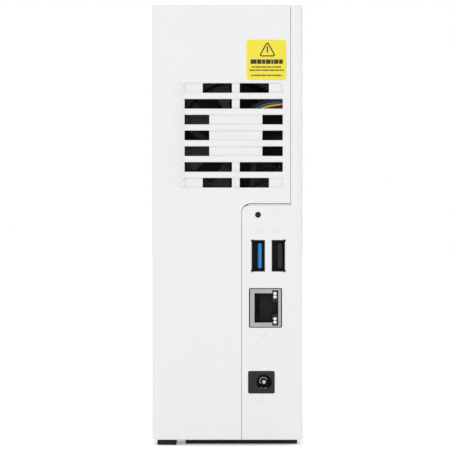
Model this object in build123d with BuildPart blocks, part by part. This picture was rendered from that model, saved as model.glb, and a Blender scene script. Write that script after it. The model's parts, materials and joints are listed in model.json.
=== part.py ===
from build123d import *
import os
from math import cos, radians, sin, sqrt

# One-bay network attached storage, standing upright on rubber feet.
# Millimetres. +Z up, +Y towards the connector side, -Y towards the buttons.
# The origin lies on the supporting surface, under the middle of the case.
#
# The case is two shells and a front panel. The chassis shell holds the circuit
# board, the fan and the drive bracket. The cover shell carries the fan grille
# and slides off towards +Y along two hooked rails.

# ---------------------------------------------------------------- case
WIDTH = 64.4
DEPTH = 156.0
BODY_HEIGHT = 186.0
FOOT_HEIGHT = 2.6
WALL = 2.2
STICKER = 0.12                  # thickness of a printed sticker
REAR_EDGE_RADIUS = 1.6
FRONT_EDGE_RADIUS = 4.0
RIM_RADIUS = 0.7
SEAM = 0.18                     # gap between two case parts
LIP_THICKNESS = 0.9             # lip that closes a seam from inside
LIP_REACH = 2.0
LIP_GAP = 0.15
EDGE_BREAK = 0.2                # small chamfer on moulded edges

STRIP_WIDTH = 5.15              # chassis strip beside the cover, rear and top
PANEL_EDGE_FROM_BOARD = 2.93    # connector panel edge, from the board's face
PANEL_HEIGHT = 100.27           # connector panel top, above the case bottom
PANEL_SEAM = 0.93               # wider seam above the connector panel
LEDGE = (0.65, 0.45)            # height and depth of the step that fills it
PANEL_RADIUS = 3.0
FLANGE_WIDTH = 12.2             # cover flange under the case
BEZEL_DEPTH = 8.0

# ---------------------------------------------------------------- inner layout
COMPONENT_BAY = 21.0            # chassis wall to the board's component face
BOARD_THICKNESS = 1.6
BOARD_TO_BRACKET = 3.0
BRACKET_SHEET = 1.2
STANDOFF = 2.0
DRIVE_THICKNESS = 26.1
DRIVE_WIDTH = 101.6
DRIVE_LENGTH = 147.0
DRIVE_FROM_FRONT = 20.0
DRIVE_FROM_FLOOR = 13.2
BOARD_FROM_FLOOR = 4.2
BOARD_HEIGHT = 94.0
BOARD_FROM_FRONT = 6.0
BOARD_FROM_REAR = 3.0
FAN_SIZE = 50.0
FAN_DEPTH = 15.0
FAN_SIDE_GAP = 1.4
FAN_GRILLE_GAP = 1.2
FAN_BELOW_TOP = 55.7

# ---------------------------------------------------------------- grille and sticker
SLOT_PITCH = 6.76
SLOT_HEIGHT = 4.15
SLOT_ROWS = 7
GROOVE_DEPTH = 0.5
GRILLE_LEFT = 21.95             # grille edge from the fan's axis, towards +X
GRILLE_RIGHT = 20.1             # the same, towards -X
SPOKE_HALF = 1.65
CROWN_HALF = 14.2
HUB_HALF = 11.35
HATCH_WIDTH = 8.0
HATCH_DEPTH = 0.25
HATCH_ANGLE = 37.0
HATCH_PITCH = 2.85
CAUTION_SIZE = (17.0, 17.2)
CAUTION_FROM_SEAM = 10.25
CAUTION_BELOW_TOP = 23.5

# ---------------------------------------------------------------- rear sockets
# Distances from the board's component face, and heights above the case bottom.
PORT_RECESS = 0.4               # socket fronts behind the panel's outer face
PORT_CLEARANCE = 0.15           # around each socket in its panel opening
SHEET = 0.3                     # connector shield thickness
USB_SIZE = (5.4, 13.2)
USB_DEPTH = 17.5
USB_FIRST = 4.2
USB_STACK_PITCH = 8.6
USB_HEIGHT = 78.75
RELIEF = (0.2, 0.25)            # inset of the round corner reliefs
RELIEF_RADIUS = 0.65
TONGUE = (1.7, 10.6)
TONGUE_OFFSET = 0.8
LAN_SIZE = (13.2, 16.2)
LAN_ROOM = (0.45, 0.35)         # around the network socket
LAN_CENTRE = 7.3
LAN_HEIGHT = 56.45
LAN_DEPTH = 16.5
LAN_CAVITY = (2.55, 10.3, 6.3)  # nearest, furthest, half height
LAN_LATCH = (12.4, 2.63)
LAMP_CENTRE = 11.4
DC_SIZE = (11.1, 9.36)
DC_HEIGHT = 24.65
DC_HOLE = 6.7
DC_HOLE_RADIUS = 3.15
DC_PIN_RADIUS = 1.0
DC_DEPTH = 14.0
RESET_CENTRE = 4.1
RESET_HEIGHT = 96.3
RESET_HOLE_RADIUS = 1.25

# ---------------------------------------------------------------- front controls
CONTROL_CENTRE = 4.2            # column of controls, from the board's face
CONTROL_RECESS = 0.5
FRONT_USB_HEIGHT = 31.0
COPY_HEIGHT = 53.0
POWER_HEIGHT = 70.0
LAMP_HEIGHTS = (84.0, 89.5, 95.0, 100.5)
POWER_RADIUS = 4.5
COPY_SIZE = (8.4, 5.0)
BUTTON_CLEARANCE = 0.25
BUTTON_TRAVEL = 0.3
PLUNGER_RADIUS = 1.6
SWITCH_SIZE = 6.0
SWITCH_DEPTH = 3.6

# ---------------------------------------------------------------- derived places
right_out = -WIDTH / 2
left_out = WIDTH / 2
right_in = right_out + WALL
left_in = left_out - WALL
front_y = -DEPTH / 2
rear_y = DEPTH / 2 - STICKER
front_in = front_y + WALL
rear_in = rear_y - WALL
bottom_z = FOOT_HEIGHT
bottom_in = bottom_z + WALL
top_z = bottom_z + BODY_HEIGHT
top_in = top_z - WALL
bezel_end = front_y + BEZEL_DEPTH
shell_start = bezel_end + SEAM

board_face = right_in + COMPONENT_BAY
board_back = board_face + BOARD_THICKNESS
board_y0 = front_y + BOARD_FROM_FRONT
board_y1 = rear_in - BOARD_FROM_REAR
board_z0 = bottom_in + BOARD_FROM_FLOOR
board_z1 = board_z0 + BOARD_HEIGHT
bracket_x0 = board_back + BOARD_TO_BRACKET
bracket_x1 = bracket_x0 + BRACKET_SHEET
drive_x0 = bracket_x1 + STANDOFF
drive_x1 = drive_x0 + DRIVE_THICKNESS
drive_y0 = front_y + DRIVE_FROM_FRONT
drive_y1 = drive_y0 + DRIVE_WIDTH
drive_y = (drive_y0 + drive_y1) / 2
drive_z0 = bottom_in + DRIVE_FROM_FLOOR
drive_z1 = drive_z0 + DRIVE_LENGTH
fan_x = right_in + FAN_SIDE_GAP + FAN_SIZE / 2
fan_z = top_z - FAN_BELOW_TOP
fan_y1 = rear_in - FAN_GRILLE_GAP
fan_y0 = fan_y1 - FAN_DEPTH

strip_x = right_out + STRIP_WIDTH
panel_x = board_face + PANEL_EDGE_FROM_BOARD
panel_z = bottom_z + PANEL_HEIGHT
flange_x = left_out - FLANGE_WIDTH


# ---------------------------------------------------------------- helpers
def block(x, y, z, mode=Mode.ADD):
    """A box from its low and high value along each axis."""
    with Locations(((x[0] + x[1]) / 2, (y[0] + y[1]) / 2, (z[0] + z[1]) / 2)):
        Box(x[1] - x[0], y[1] - y[0], z[1] - z[0], mode=mode)


def rod(start, direction, radius, length, mode=Mode.ADD):
    """A round bar that starts at a point and runs along a direction."""
    with Locations(Plane(origin=start, z_dir=direction)):
        Cylinder(radius, length, align=(Align.CENTER, Align.CENTER, Align.MIN), mode=mode)


def facing_rear(y):
    """The plane at y whose sketches read (X, Z) and extrude towards the front."""
    return Plane.XZ.offset(-y)


def facing_side(x):
    """The plane at x whose sketches read (Y, Z) and extrude towards +X."""
    return Plane.YZ.offset(x)


def rounded_plate(plane, centre, size, radius, amount, mode=Mode.ADD):
    """A plate with rounded corners, extruded from a plane."""
    with BuildSketch(plane) as outline:
        with Locations(centre):
            RectangleRounded(size[0], size[1], radius)
    extrude(outline.sketch, amount=amount, mode=mode)


def pan_head_screw(head_radius, head_height, shank_radius, shank_length):
    """A cross-recessed screw whose head sits on z = 0 and whose shank points to -Z."""
    with BuildPart() as screw:
        Cylinder(head_radius, head_height, align=(Align.CENTER, Align.CENTER, Align.MIN))
        fillet(screw.edges().sort_by(Axis.Z)[-1], head_height * 0.45)
        Cylinder(shank_radius, shank_length, align=(Align.CENTER, Align.CENTER, Align.MAX))
        slot = head_radius * 1.1
        with BuildSketch(Plane.XY.offset(head_height)) as cross:
            Rectangle(slot, slot * 0.22)
            Rectangle(slot * 0.22, slot)
        extrude(cross.sketch, amount=-head_height * 0.6, mode=Mode.SUBTRACT)
    return screw.part


def export(part, name):
    """Names a finished piece and writes its STEP file."""
    part.label = name
    export_step(part, f"parts/{name}.step")


os.makedirs("parts", exist_ok=True)

# ---------------------------------------------------------------- case shells
# The closed outer form, rounded as the finished case is, and the room inside it.
with BuildPart() as outer_form:
    block((right_out, left_out), (front_y, rear_y), (bottom_z, top_z))
    upright = outer_form.edges().filter_by(Axis.Z).group_by(Axis.Y)
    fillet(upright[-1], REAR_EDGE_RADIUS)
    upright = outer_form.edges().filter_by(Axis.Z).group_by(Axis.Y)
    fillet(upright[0], FRONT_EDGE_RADIUS)
    fillet(outer_form.faces().sort_by(Axis.Z)[-1].edges(), RIM_RADIUS)
    fillet(outer_form.faces().sort_by(Axis.Z)[0].edges(), RIM_RADIUS)

with BuildPart() as inner_form:
    block((right_in, left_in), (front_in, rear_in), (bottom_in, top_in))
    fillet(inner_form.edges().filter_by(Axis.Z).group_by(Axis.Y)[0], FRONT_EDGE_RADIUS - WALL)

# What the chassis keeps of the closed form, with half of each seam taken away.
with BuildPart() as chassis_share:
    block((right_out - 1, strip_x - SEAM / 2), (shell_start, rear_y + 1), (0, top_z + 1))
    block((right_out - 1, flange_x - SEAM / 2), (shell_start, rear_in - SEAM), (0, bottom_in))
    block((right_out - 1, panel_x - SEAM / 2), (rear_in - SEAM, rear_y + 1), (0, panel_z))
    corner = chassis_share.edges().filter_by(Axis.Y).filter_by_position(
        Axis.X, panel_x - SEAM / 2 - 0.01, panel_x - SEAM / 2 + 0.01
    ).filter_by_position(Axis.Z, panel_z - 0.01, panel_z + 0.01)
    fillet(corner, PANEL_RADIUS)

# What is cut from the closed form to leave the cover.
with BuildPart() as cover_cut:
    block((right_out - 1, strip_x + SEAM / 2), (front_y - 1, rear_y + 1), (0, top_z + 1))
    block((right_out - 1, flange_x + SEAM / 2), (front_y - 1, rear_in), (0, bottom_in + SEAM))
    block((right_out - 1, panel_x + SEAM / 2), (rear_in - 1, rear_y + 1), (0, panel_z + PANEL_SEAM))
    corner = cover_cut.edges().filter_by(Axis.Y).filter_by_position(
        Axis.X, panel_x + SEAM / 2 - 0.01, panel_x + SEAM / 2 + 0.01
    ).filter_by_position(Axis.Z, panel_z + PANEL_SEAM - 0.01, panel_z + PANEL_SEAM + 0.01)
    fillet(corner, PANEL_RADIUS + PANEL_SEAM)

# ---------------------------------------------------------------- rails
# Interlocking hooks along the two long seams: the chassis profile and the cover
# profile leave CATCH between them, so the cover can only move along Y.
RAIL_WEB = 1.2
CATCH = 0.8
rail_y = (shell_start + 6.0, rear_in - 8.0)


def bottom_chassis_rail():
    """The chassis lip over the cover's flange, with its edge turned up."""
    block((flange_x - 2.2, flange_x - SEAM / 2), rail_y, (bottom_in - 0.5, bottom_in + 1.6))
    block((flange_x - 2.2, flange_x + 4.0), rail_y, (bottom_in + 0.2, bottom_in + 1.6))
    block((flange_x + 4.0 - RAIL_WEB, flange_x + 4.0), rail_y, (bottom_in + 1.6, bottom_in + 3.6))


def bottom_cover_rail():
    """The cover's hook that reaches over the chassis lip."""
    near = flange_x + 4.0 - RAIL_WEB - CATCH
    far = flange_x + 6.8
    block((far - RAIL_WEB, far), rail_y, (bottom_in - 0.5, bottom_in + 5.4))
    block((near - RAIL_WEB, far), rail_y, (bottom_in + 4.2, bottom_in + 5.4))
    block((near - RAIL_WEB, near), rail_y, (bottom_in + 2.0, bottom_in + 5.4))


def top_chassis_rail():
    """The chassis lip under the cover's top, with its edge turned down."""
    edge = strip_x + 5.05
    block((strip_x - 2.2, strip_x - SEAM / 2), rail_y, (top_in - 2.0, top_in + 0.5))
    block((strip_x - 2.2, edge), rail_y, (top_in - 2.0, top_in - 0.4))
    block((edge - RAIL_WEB, edge), rail_y, (top_in - 4.4, top_in - 2.0))


def top_cover_rail():
    """The cover's hook that reaches under the chassis lip."""
    near = strip_x + 5.05 - RAIL_WEB - CATCH
    far = strip_x + 8.65
    block((far - RAIL_WEB, far), rail_y, (top_in - 6.2, top_in + 0.3))
    block((near - RAIL_WEB, far), rail_y, (top_in - 6.2, top_in - 5.0))
    block((near - RAIL_WEB, near), rail_y, (top_in - 6.2, top_in - 2.5))


# ---------------------------------------------------------------- places of the sockets
usb3_x = board_face - USB_FIRST
usb2_x = usb3_x - USB_STACK_PITCH
usb_z = bottom_z + USB_HEIGHT
lan_x = board_face - LAN_CENTRE
lan_z = bottom_z + LAN_HEIGHT
dc_x = board_face - DC_SIZE[0] / 2
dc_z = bottom_z + DC_HEIGHT
reset_x = board_face - RESET_CENTRE
reset_z = bottom_z + RESET_HEIGHT
control_x = board_face - CONTROL_CENTRE
port_y = rear_y - PORT_RECESS

# ---------------------------------------------------------------- places of the fixings
POST_RADIUS = 3.0
POST_HOLE = 1.25
SCREW_SHANK = 1.2
board_posts = [
    (board_y0 + 17, board_z0 + 6),
    (board_y0 + 17, board_z1 - 7),
    (board_y1 - 33, board_z0 + 6),
    (board_y1 - 36, board_z1 - 7),
]
bracket_top = drive_z1 + 11.0
bracket_posts = [(drive_y0 + 18, drive_z1 + 5.5), (drive_y1 - 18, drive_z1 + 5.5)]
EAR_BOSS = 5.0
ear_posts = [(fan_y0 - 10, fan_z + 20.5), (fan_y0 - 10, fan_z - 14)]
clip_y = [(drive_y0 + 8, drive_y0 + 18), (drive_y1 + 1, drive_y1 + 9)]
CLIP_SLOT = bottom_in + 3.0
backplane_y = (drive_y - 5.0, drive_y + 46.0)
backplane_z = bottom_in + 5.4
RIB = 1.6

# ---------------------------------------------------------------- chassis shell
with BuildPart() as chassis_shell:
    add(outer_form.part)
    add(inner_form.part, mode=Mode.SUBTRACT)
    add(chassis_share.part, mode=Mode.INTERSECT)
    # Openings in the connector panel.
    for x in (usb3_x, usb2_x):
        rounded_plate(
            facing_rear(rear_y + 1), (x, usb_z),
            (USB_SIZE[0] + 2 * PORT_CLEARANCE, USB_SIZE[1] + 2 * PORT_CLEARANCE),
            0.2, 5, Mode.SUBTRACT,
        )
    rounded_plate(
        facing_rear(rear_y + 1), (lan_x, lan_z),
        (LAN_SIZE[0] + 2 * LAN_ROOM[0], LAN_SIZE[1] + 2 * LAN_ROOM[1]),
        0.5, 5, Mode.SUBTRACT,
    )
    rounded_plate(
        facing_rear(rear_y + 1), (dc_x, dc_z),
        (DC_SIZE[0] + 2 * PORT_CLEARANCE, DC_SIZE[1] + 2 * PORT_CLEARANCE),
        0.7, 5, Mode.SUBTRACT,
    )
    rod((reset_x, rear_y + 1, reset_z), (0, -1, 0), RESET_HOLE_RADIUS, 5, Mode.SUBTRACT)
    # Small round reliefs at the outer corners of the two USB openings.
    for side, x in ((1, usb3_x), (-1, usb2_x)):
        for rise in (-1, 1):
            rod(
                (x + side * (USB_SIZE[0] / 2 - RELIEF[0]), rear_y + 1,
                 usb_z + rise * (USB_SIZE[1] / 2 - RELIEF[1])),
                (0, -1, 0), RELIEF_RADIUS, 5, Mode.SUBTRACT,
            )
    mouths = chassis_shell.faces().filter_by(Axis.Y).sort_by(Axis.Y)[-1].inner_wires()
    chamfer([edge for wire in mouths for edge in wire.edges()], EDGE_BREAK)
    # Lips behind the seams.
    lip_y = (rear_in - LIP_GAP - LIP_THICKNESS, rear_in - LIP_GAP)
    over = panel_z + PANEL_SEAM + LIP_REACH
    block((strip_x - LIP_REACH, strip_x - SEAM / 2), (lip_y[0], rear_in), (over - 1, top_in - 8))
    block((strip_x - LIP_REACH, strip_x + LIP_REACH), lip_y, (over - 1, top_in - 8))
    block((right_in, panel_x + LIP_REACH), lip_y, (panel_z - LIP_REACH, over))
    block((right_in, panel_x - PANEL_RADIUS), (lip_y[0], rear_in), (panel_z - LIP_REACH, panel_z))
    block((panel_x - LIP_REACH, panel_x + LIP_REACH), lip_y, (bottom_in, over))
    block((panel_x - LIP_REACH, panel_x - SEAM / 2), (lip_y[0], rear_in),
          (bottom_in, panel_z - PANEL_RADIUS))
    # A step along the panel's top edge that half fills the wide seam.
    block((strip_x, panel_x - PANEL_RADIUS), (rear_in, rear_y - LEDGE[1]),
          (panel_z - EDGE_BREAK, panel_z + LEDGE[0]))
    bottom_chassis_rail()
    top_chassis_rail()
    # Posts for the board, the drive bracket and the fan bracket.
    for y, z in board_posts:
        rod((right_in - 0.5, y, z), (1, 0, 0), POST_RADIUS, board_face - right_in + 0.5)
        rod((board_face, y, z), (-1, 0, 0), POST_HOLE, 8, Mode.SUBTRACT)
    for y, z in bracket_posts:
        rod((right_in - 0.5, y, z), (1, 0, 0), POST_RADIUS + 0.5, bracket_x0 - right_in + 0.5)
        rod((bracket_x0, y, z), (-1, 0, 0), POST_HOLE, 8, Mode.SUBTRACT)
    for y, z in ear_posts:
        rod((right_in - 0.5, y, z), (1, 0, 0), POST_RADIUS + 0.5, EAR_BOSS + 0.5)
        rod((right_in + EAR_BOSS, y, z), (-1, 0, 0), POST_HOLE, 4.5, Mode.SUBTRACT)
    # Slotted feet that hold the drive bracket's lower tabs.
    for y0, y1 in clip_y:
        block((bracket_x0 - RIB, bracket_x1 + RIB), (y0, y1), (bottom_in - 0.5, CLIP_SLOT + 5))
        block((bracket_x0 - 0.1, bracket_x1 + 0.1), (y0 - 1, y1 + 1), (CLIP_SLOT, CLIP_SLOT + 6),
              Mode.SUBTRACT)
    # Ribs under the backplane.
    for x in (bracket_x1 + 4, bracket_x1 + 16):
        block((x, x + RIB), (backplane_y[0] + 2, backplane_y[1] - 8), (bottom_in - 0.5, backplane_z))
    # Air inlet slots under the board and the drive.
    with BuildSketch(Plane.XY.offset(bottom_z - 1)) as inlet:
        with Locations(((right_in + board_face) / 2, 0)):
            with GridLocations(4.2, 26.0, 4, 3):
                SlotOverall(21.0, 2.2, rotation=90)
    extrude(inlet.sketch, amount=WALL + 2, mode=Mode.SUBTRACT)
    # Shallow seats for the rubber feet.
    FOOT_SEAT = 0.6
    FOOT_LENGTH = 12.0
    FOOT_FROM_REAR = 7.0
    FOOT_FROM_FRONT = 6.0
    chassis_foot_x = (right_out + 2.0, flange_x - 1.95)
    foot_y = [
        (shell_start + FOOT_FROM_FRONT, shell_start + FOOT_FROM_FRONT + FOOT_LENGTH),
        (rear_in - FOOT_FROM_REAR - FOOT_LENGTH, rear_in - FOOT_FROM_REAR),
    ]
    for y in foot_y:
        block(chassis_foot_x, y, (bottom_z - 1, bottom_z + FOOT_SEAT), Mode.SUBTRACT)

# ---------------------------------------------------------------- cover shell
cover_foot_x = (flange_x + 1.9, left_out - 2.1)
cover_foot_y = [foot_y[0], (foot_y[1][0] + 4.5, foot_y[1][1] + 4.5)]
grille_x = (fan_x - GRILLE_RIGHT, fan_x + GRILLE_LEFT)
rows_z = [fan_z + (SLOT_ROWS // 2 - row) * SLOT_PITCH for row in range(SLOT_ROWS)]


def slot_spans(row):
    """The X ranges that are open in one row of the grille."""
    ends = min(row, SLOT_ROWS - 1 - row)
    if ends == 0:
        return [(fan_x - CROWN_HALF, fan_x - SPOKE_HALF), (fan_x + SPOKE_HALF, fan_x + CROWN_HALF)]
    if ends == 1:
        return [(grille_x[0], fan_x - SPOKE_HALF), (fan_x + SPOKE_HALF, grille_x[1])]
    return [(grille_x[0], fan_x - HUB_HALF), (fan_x + HUB_HALF, grille_x[1])]


with BuildPart() as side_cover:
    add(outer_form.part)
    add(inner_form.part, mode=Mode.SUBTRACT)
    add(cover_cut.part, mode=Mode.SUBTRACT)
    block((right_out - 1, left_out + 1), (front_y - 1, shell_start), (0, top_z + 1), Mode.SUBTRACT)
    bottom_cover_rail()
    top_cover_rail()
    # Grooves, one for each row of slots, rounded at the outer corners near the seam.
    for row, z in enumerate(rows_z):
        with BuildSketch(facing_rear(rear_y)) as groove:
            with Locations(((grille_x[0] + grille_x[1]) / 2, z)):
                Rectangle(grille_x[1] - grille_x[0], SLOT_HEIGHT + 0.25)
            near_seam = groove.vertices().group_by(Axis.X)[0].sort_by(Axis.Y)
            if row == 0:
                fillet(near_seam[-1], 1.6)
            if row == SLOT_ROWS - 1:
                fillet(near_seam[0], 1.6)
        extrude(groove.sketch, amount=GROOVE_DEPTH, mode=Mode.SUBTRACT)
        for x0, x1 in slot_spans(row):
            rounded_plate(
                facing_rear(rear_y + 1), ((x0 + x1) / 2, z), (x1 - x0, SLOT_HEIGHT), 0.3, 5, Mode.SUBTRACT
            )
    # Diagonal hatching beside the grille, cut from a leaning plane so that it fades out.
    lean = HATCH_DEPTH / HATCH_WIDTH
    hatch_x = (grille_x[1] + 0.1, grille_x[1] + HATCH_WIDTH)
    hatch_z = (rows_z[-1] - SLOT_HEIGHT / 2, rows_z[0] + SLOT_HEIGHT / 2 + 0.2)
    hatch_plane = Plane(
        origin=(hatch_x[1], rear_y, 0), x_dir=(1, lean, 0), z_dir=(lean, -1, 0)
    )
    count = int((hatch_z[1] - hatch_z[0] + HATCH_WIDTH) / HATCH_PITCH) + 2
    with BuildSketch(hatch_plane) as hatch:
        for k in range(count):
            with Locations((-HATCH_WIDTH / 2, hatch_z[0] + k * HATCH_PITCH - HATCH_WIDTH * 0.3)):
                Rectangle(3 * HATCH_WIDTH, HATCH_PITCH * 0.42, rotation=-HATCH_ANGLE)
        with Locations((-(hatch_x[1] - hatch_x[0]) / 2, (hatch_z[0] + hatch_z[1]) / 2)):
            Rectangle(hatch_x[1] - hatch_x[0], hatch_z[1] - hatch_z[0], mode=Mode.INTERSECT)
    extrude(hatch.sketch, amount=-1, mode=Mode.SUBTRACT)
    for y in cover_foot_y:
        block(cover_foot_x, y, (bottom_z - 1, bottom_z + FOOT_SEAT), Mode.SUBTRACT)


# ---------------------------------------------------------------- feet and stickers
def foot(x, y):
    """A rubber pad in its seat, with its lower edges rounded."""
    with BuildPart() as pad:
        block(x, y, (0, bottom_z + FOOT_SEAT))
        fillet(pad.edges().filter_by(Axis.Z), 0.8)
        fillet(pad.faces().sort_by(Axis.Z)[0].edges(), 0.4)
    return pad.part


with BuildPart() as chassis_feet:
    for y in foot_y:
        add(foot(chassis_foot_x, y))

with BuildPart() as cover_feet:
    for y in cover_foot_y:
        add(foot(cover_foot_x, y))

caution_centre = (strip_x + CAUTION_FROM_SEAM, top_z - CAUTION_BELOW_TOP)
with BuildPart() as caution_label:
    rounded_plate(facing_rear(rear_y), caution_centre, CAUTION_SIZE, 1.2, -STICKER)

# ---------------------------------------------------------------- front panel
panel_low = bottom_z + 10.0
panel_high = bottom_z + LAMP_HEIGHTS[-1] + 8.0
control_width = 15.0
with BuildPart() as front_bezel:
    add(outer_form.part)
    add(inner_form.part, mode=Mode.SUBTRACT)
    block((right_out - 1, left_out + 1), (bezel_end, rear_y + 1), (0, top_z + 1), Mode.SUBTRACT)
    # A collar that reaches inside the shells and closes the seam behind the panel.
    collar = ((right_in + LIP_GAP, left_in - LIP_GAP), (bottom_in + LIP_GAP, top_in - LIP_GAP))
    with BuildSketch(facing_rear(front_in + 3.5)) as ring:
        with Locations((0, (bottom_z + top_z) / 2)):
            Rectangle(left_in - right_in + 0.4, top_in - bottom_in + 0.4)
            Rectangle(left_in - right_in - 2.4, top_in - bottom_in - 2.4, mode=Mode.SUBTRACT)
    extrude(ring.sketch, amount=front_in + 3.5 - bezel_end)
    with BuildSketch(facing_rear(bezel_end)) as ring:
        with Locations((0, (bottom_z + top_z) / 2)):
            Rectangle(collar[0][1] - collar[0][0], collar[1][1] - collar[1][0])
            Rectangle(left_in - right_in - 2.4, top_in - bottom_in - 2.4, mode=Mode.SUBTRACT)
    extrude(ring.sketch, amount=-(SEAM + 2.2))
    # Snap tabs that bear on the chassis walls.
    for z in (bottom_z + 30, top_z - 40):
        block((right_in, right_in + 1.4), (front_in, shell_start + 12), (z, z + 10))
    for x in (right_in + 6, flange_x - 16):
        block((x, x + 9), (front_in, shell_start + 12), (bottom_in, bottom_in + 1.4))
    # The control column: a shallow recess with rounded corners.
    rounded_plate(
        facing_rear(front_y + CONTROL_RECESS),
        (control_x, (panel_low + panel_high) / 2),
        (control_width, panel_high - panel_low), PANEL_RADIUS, 1, Mode.SUBTRACT,
    )
    rounded_plate(
        facing_rear(front_in + 1), (control_x, bottom_z + FRONT_USB_HEIGHT),
        (USB_SIZE[0] + 2 * PORT_CLEARANCE, USB_SIZE[1] + 2 * PORT_CLEARANCE), 0.2, 5, Mode.SUBTRACT,
    )
    rod((control_x, front_in + 1, bottom_z + POWER_HEIGHT), (0, -1, 0),
        POWER_RADIUS + BUTTON_CLEARANCE, 5, Mode.SUBTRACT)
    rounded_plate(
        facing_rear(front_in + 1), (control_x, bottom_z + COPY_HEIGHT),
        (COPY_SIZE[0] + 2 * BUTTON_CLEARANCE, COPY_SIZE[1] + 2 * BUTTON_CLEARANCE), 1.4, 5,
        Mode.SUBTRACT,
    )
    for height in LAMP_HEIGHTS:
        rounded_plate(
            facing_rear(front_in + 1), (control_x, bottom_z + height), (3.2, 1.3), 0.6, 5, Mode.SUBTRACT
        )
    # Diagonal hatching over the rest of the face, in the style of the grille.
    FRONT_HATCH = 16.0
    hatch_left = left_out - FRONT_EDGE_RADIUS - 1.5
    front_hatch_x = (hatch_left - FRONT_HATCH, hatch_left)
    front_hatch_z = (panel_low, panel_high)
    lean = HATCH_DEPTH / FRONT_HATCH
    hatch_plane = Plane(
        origin=(front_hatch_x[0], front_y, 0), x_dir=(1, lean, 0), z_dir=(lean, -1, 0)
    )
    count = int((front_hatch_z[1] - front_hatch_z[0] + FRONT_HATCH) / HATCH_PITCH) + 2
    with BuildSketch(hatch_plane) as hatch:
        for k in range(count):
            with Locations((FRONT_HATCH / 2, front_hatch_z[0] + k * HATCH_PITCH - FRONT_HATCH * 0.3)):
                Rectangle(3 * FRONT_HATCH, HATCH_PITCH * 0.42, rotation=HATCH_ANGLE)
        with Locations((FRONT_HATCH / 2, (front_hatch_z[0] + front_hatch_z[1]) / 2)):
            Rectangle(FRONT_HATCH, front_hatch_z[1] - front_hatch_z[0], mode=Mode.INTERSECT)
    extrude(hatch.sketch, amount=1, mode=Mode.SUBTRACT)


# ---------------------------------------------------------------- USB sockets
USB_CAVITY = 9.0
TONGUE_BACK = 0.9               # tongue tip behind the socket's mouth
CONTACT = 0.15
CONTACT_PLACES = (-3.5, -1.0, 1.0, 3.5)
SMALL_CONTACT_PLACES = (-4.4, -2.2, 0.0, 2.2, 4.4)


def inward(mouth, facing, near, far):
    """The Y range between two depths behind a mouth that faces +Y (1) or -Y (-1)."""
    return tuple(sorted((mouth - facing * near, mouth - facing * far)))


def across(centre, size):
    """The range of a given size about its centre."""
    return (centre - size / 2, centre + size / 2)


def usb_shell(ports, z, mouth, facing, nose, depth):
    """A folded shield: a box on the board, with one tube for each port."""
    body_x = (ports[-1] - USB_SIZE[0] / 2, board_face)
    body_z = across(z, USB_SIZE[1])
    inner_x = (body_x[0] + SHEET, board_face + 1)
    inner_z = across(z, USB_SIZE[1] - 2 * SHEET)
    with BuildPart() as shell:
        block(body_x, inward(mouth, facing, nose, depth), body_z)
        block(inner_x, inward(mouth, facing, nose + SHEET, depth - SHEET), inner_z, Mode.SUBTRACT)
        for x in ports:
            block(across(x, USB_SIZE[0]), inward(mouth, facing, 0, USB_CAVITY), body_z)
        for x in ports:
            block(across(x, USB_SIZE[0] - 2 * SHEET), inward(mouth, facing, -1, USB_CAVITY), inner_z,
                  Mode.SUBTRACT)
    return shell.part


def usb_core(ports, tongues, z, mouth, facing, nose, depth):
    """The insulator inside a shield, with the tongues that are moulded in one with it."""
    inner_x = (ports[-1] - USB_SIZE[0] / 2 + SHEET, board_face)
    inner_z = across(z, USB_SIZE[1] - 2 * SHEET)
    with BuildPart() as core:
        block(inner_x, inward(mouth, facing, nose + SHEET, depth - SHEET), inner_z)
        for x in ports:
            block(across(x, USB_SIZE[0]), inward(mouth, facing, -1, USB_CAVITY), inner_z,
                  Mode.SUBTRACT)
        for x in tongues:
            block(across(x - TONGUE_OFFSET, TONGUE[0]), inward(mouth, facing, TONGUE_BACK, USB_CAVITY),
                  across(z, TONGUE[1]))
    return core.part


def usb_blade(x, z, mouth, facing):
    """A separate coloured tongue."""
    with BuildPart() as blade:
        block(across(x - TONGUE_OFFSET, TONGUE[0]), inward(mouth, facing, TONGUE_BACK, USB_CAVITY),
              across(z, TONGUE[1]))
        tip = blade.faces().sort_by(Axis.Y)[-1 if facing > 0 else 0]
        chamfer(tip.edges().filter_by(Axis.Z), 0.4)
    return blade.part


def usb_springs(x, z, mouth, facing, fast):
    """The gold contacts that lie on the board side of one tongue."""
    face = x - TONGUE_OFFSET + TONGUE[0] / 2
    for place in CONTACT_PLACES:
        block((face, face + CONTACT), inward(mouth, facing, TONGUE_BACK + 2.6, USB_CAVITY),
              across(z + place, 1.0))
    if fast:
        for place in SMALL_CONTACT_PLACES:
            block((face, face + CONTACT), inward(mouth, facing, TONGUE_BACK + 0.6, TONGUE_BACK + 2.0),
                  across(z + place, 0.7))


rear_nose = port_y - rear_in + 0.4
rear_ports = (usb3_x, usb2_x)
usb_stack_shell = usb_shell(rear_ports, usb_z, port_y, 1, rear_nose, USB_DEPTH)
usb_stack_core = usb_core(rear_ports, (usb2_x,), usb_z, port_y, 1, rear_nose, USB_DEPTH)

front_mouth = front_y + CONTROL_RECESS + 0.2
front_nose = board_y0 + 0.5 - front_mouth
front_usb_z = bottom_z + FRONT_USB_HEIGHT
front_ports = (control_x,)
front_usb_shell = usb_shell(front_ports, front_usb_z, front_mouth, -1, front_nose, USB_DEPTH)
front_usb_core = usb_core(front_ports, (), front_usb_z, front_mouth, -1, front_nose, USB_DEPTH)

with BuildPart() as usb3_tongues:
    add(usb_blade(usb3_x, usb_z, port_y, 1))
    add(usb_blade(control_x, front_usb_z, front_mouth, -1))

with BuildPart() as usb_contacts:
    usb_springs(usb3_x, usb_z, port_y, 1, True)
    usb_springs(usb2_x, usb_z, port_y, 1, False)
    usb_springs(control_x, front_usb_z, front_mouth, -1, True)

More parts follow.
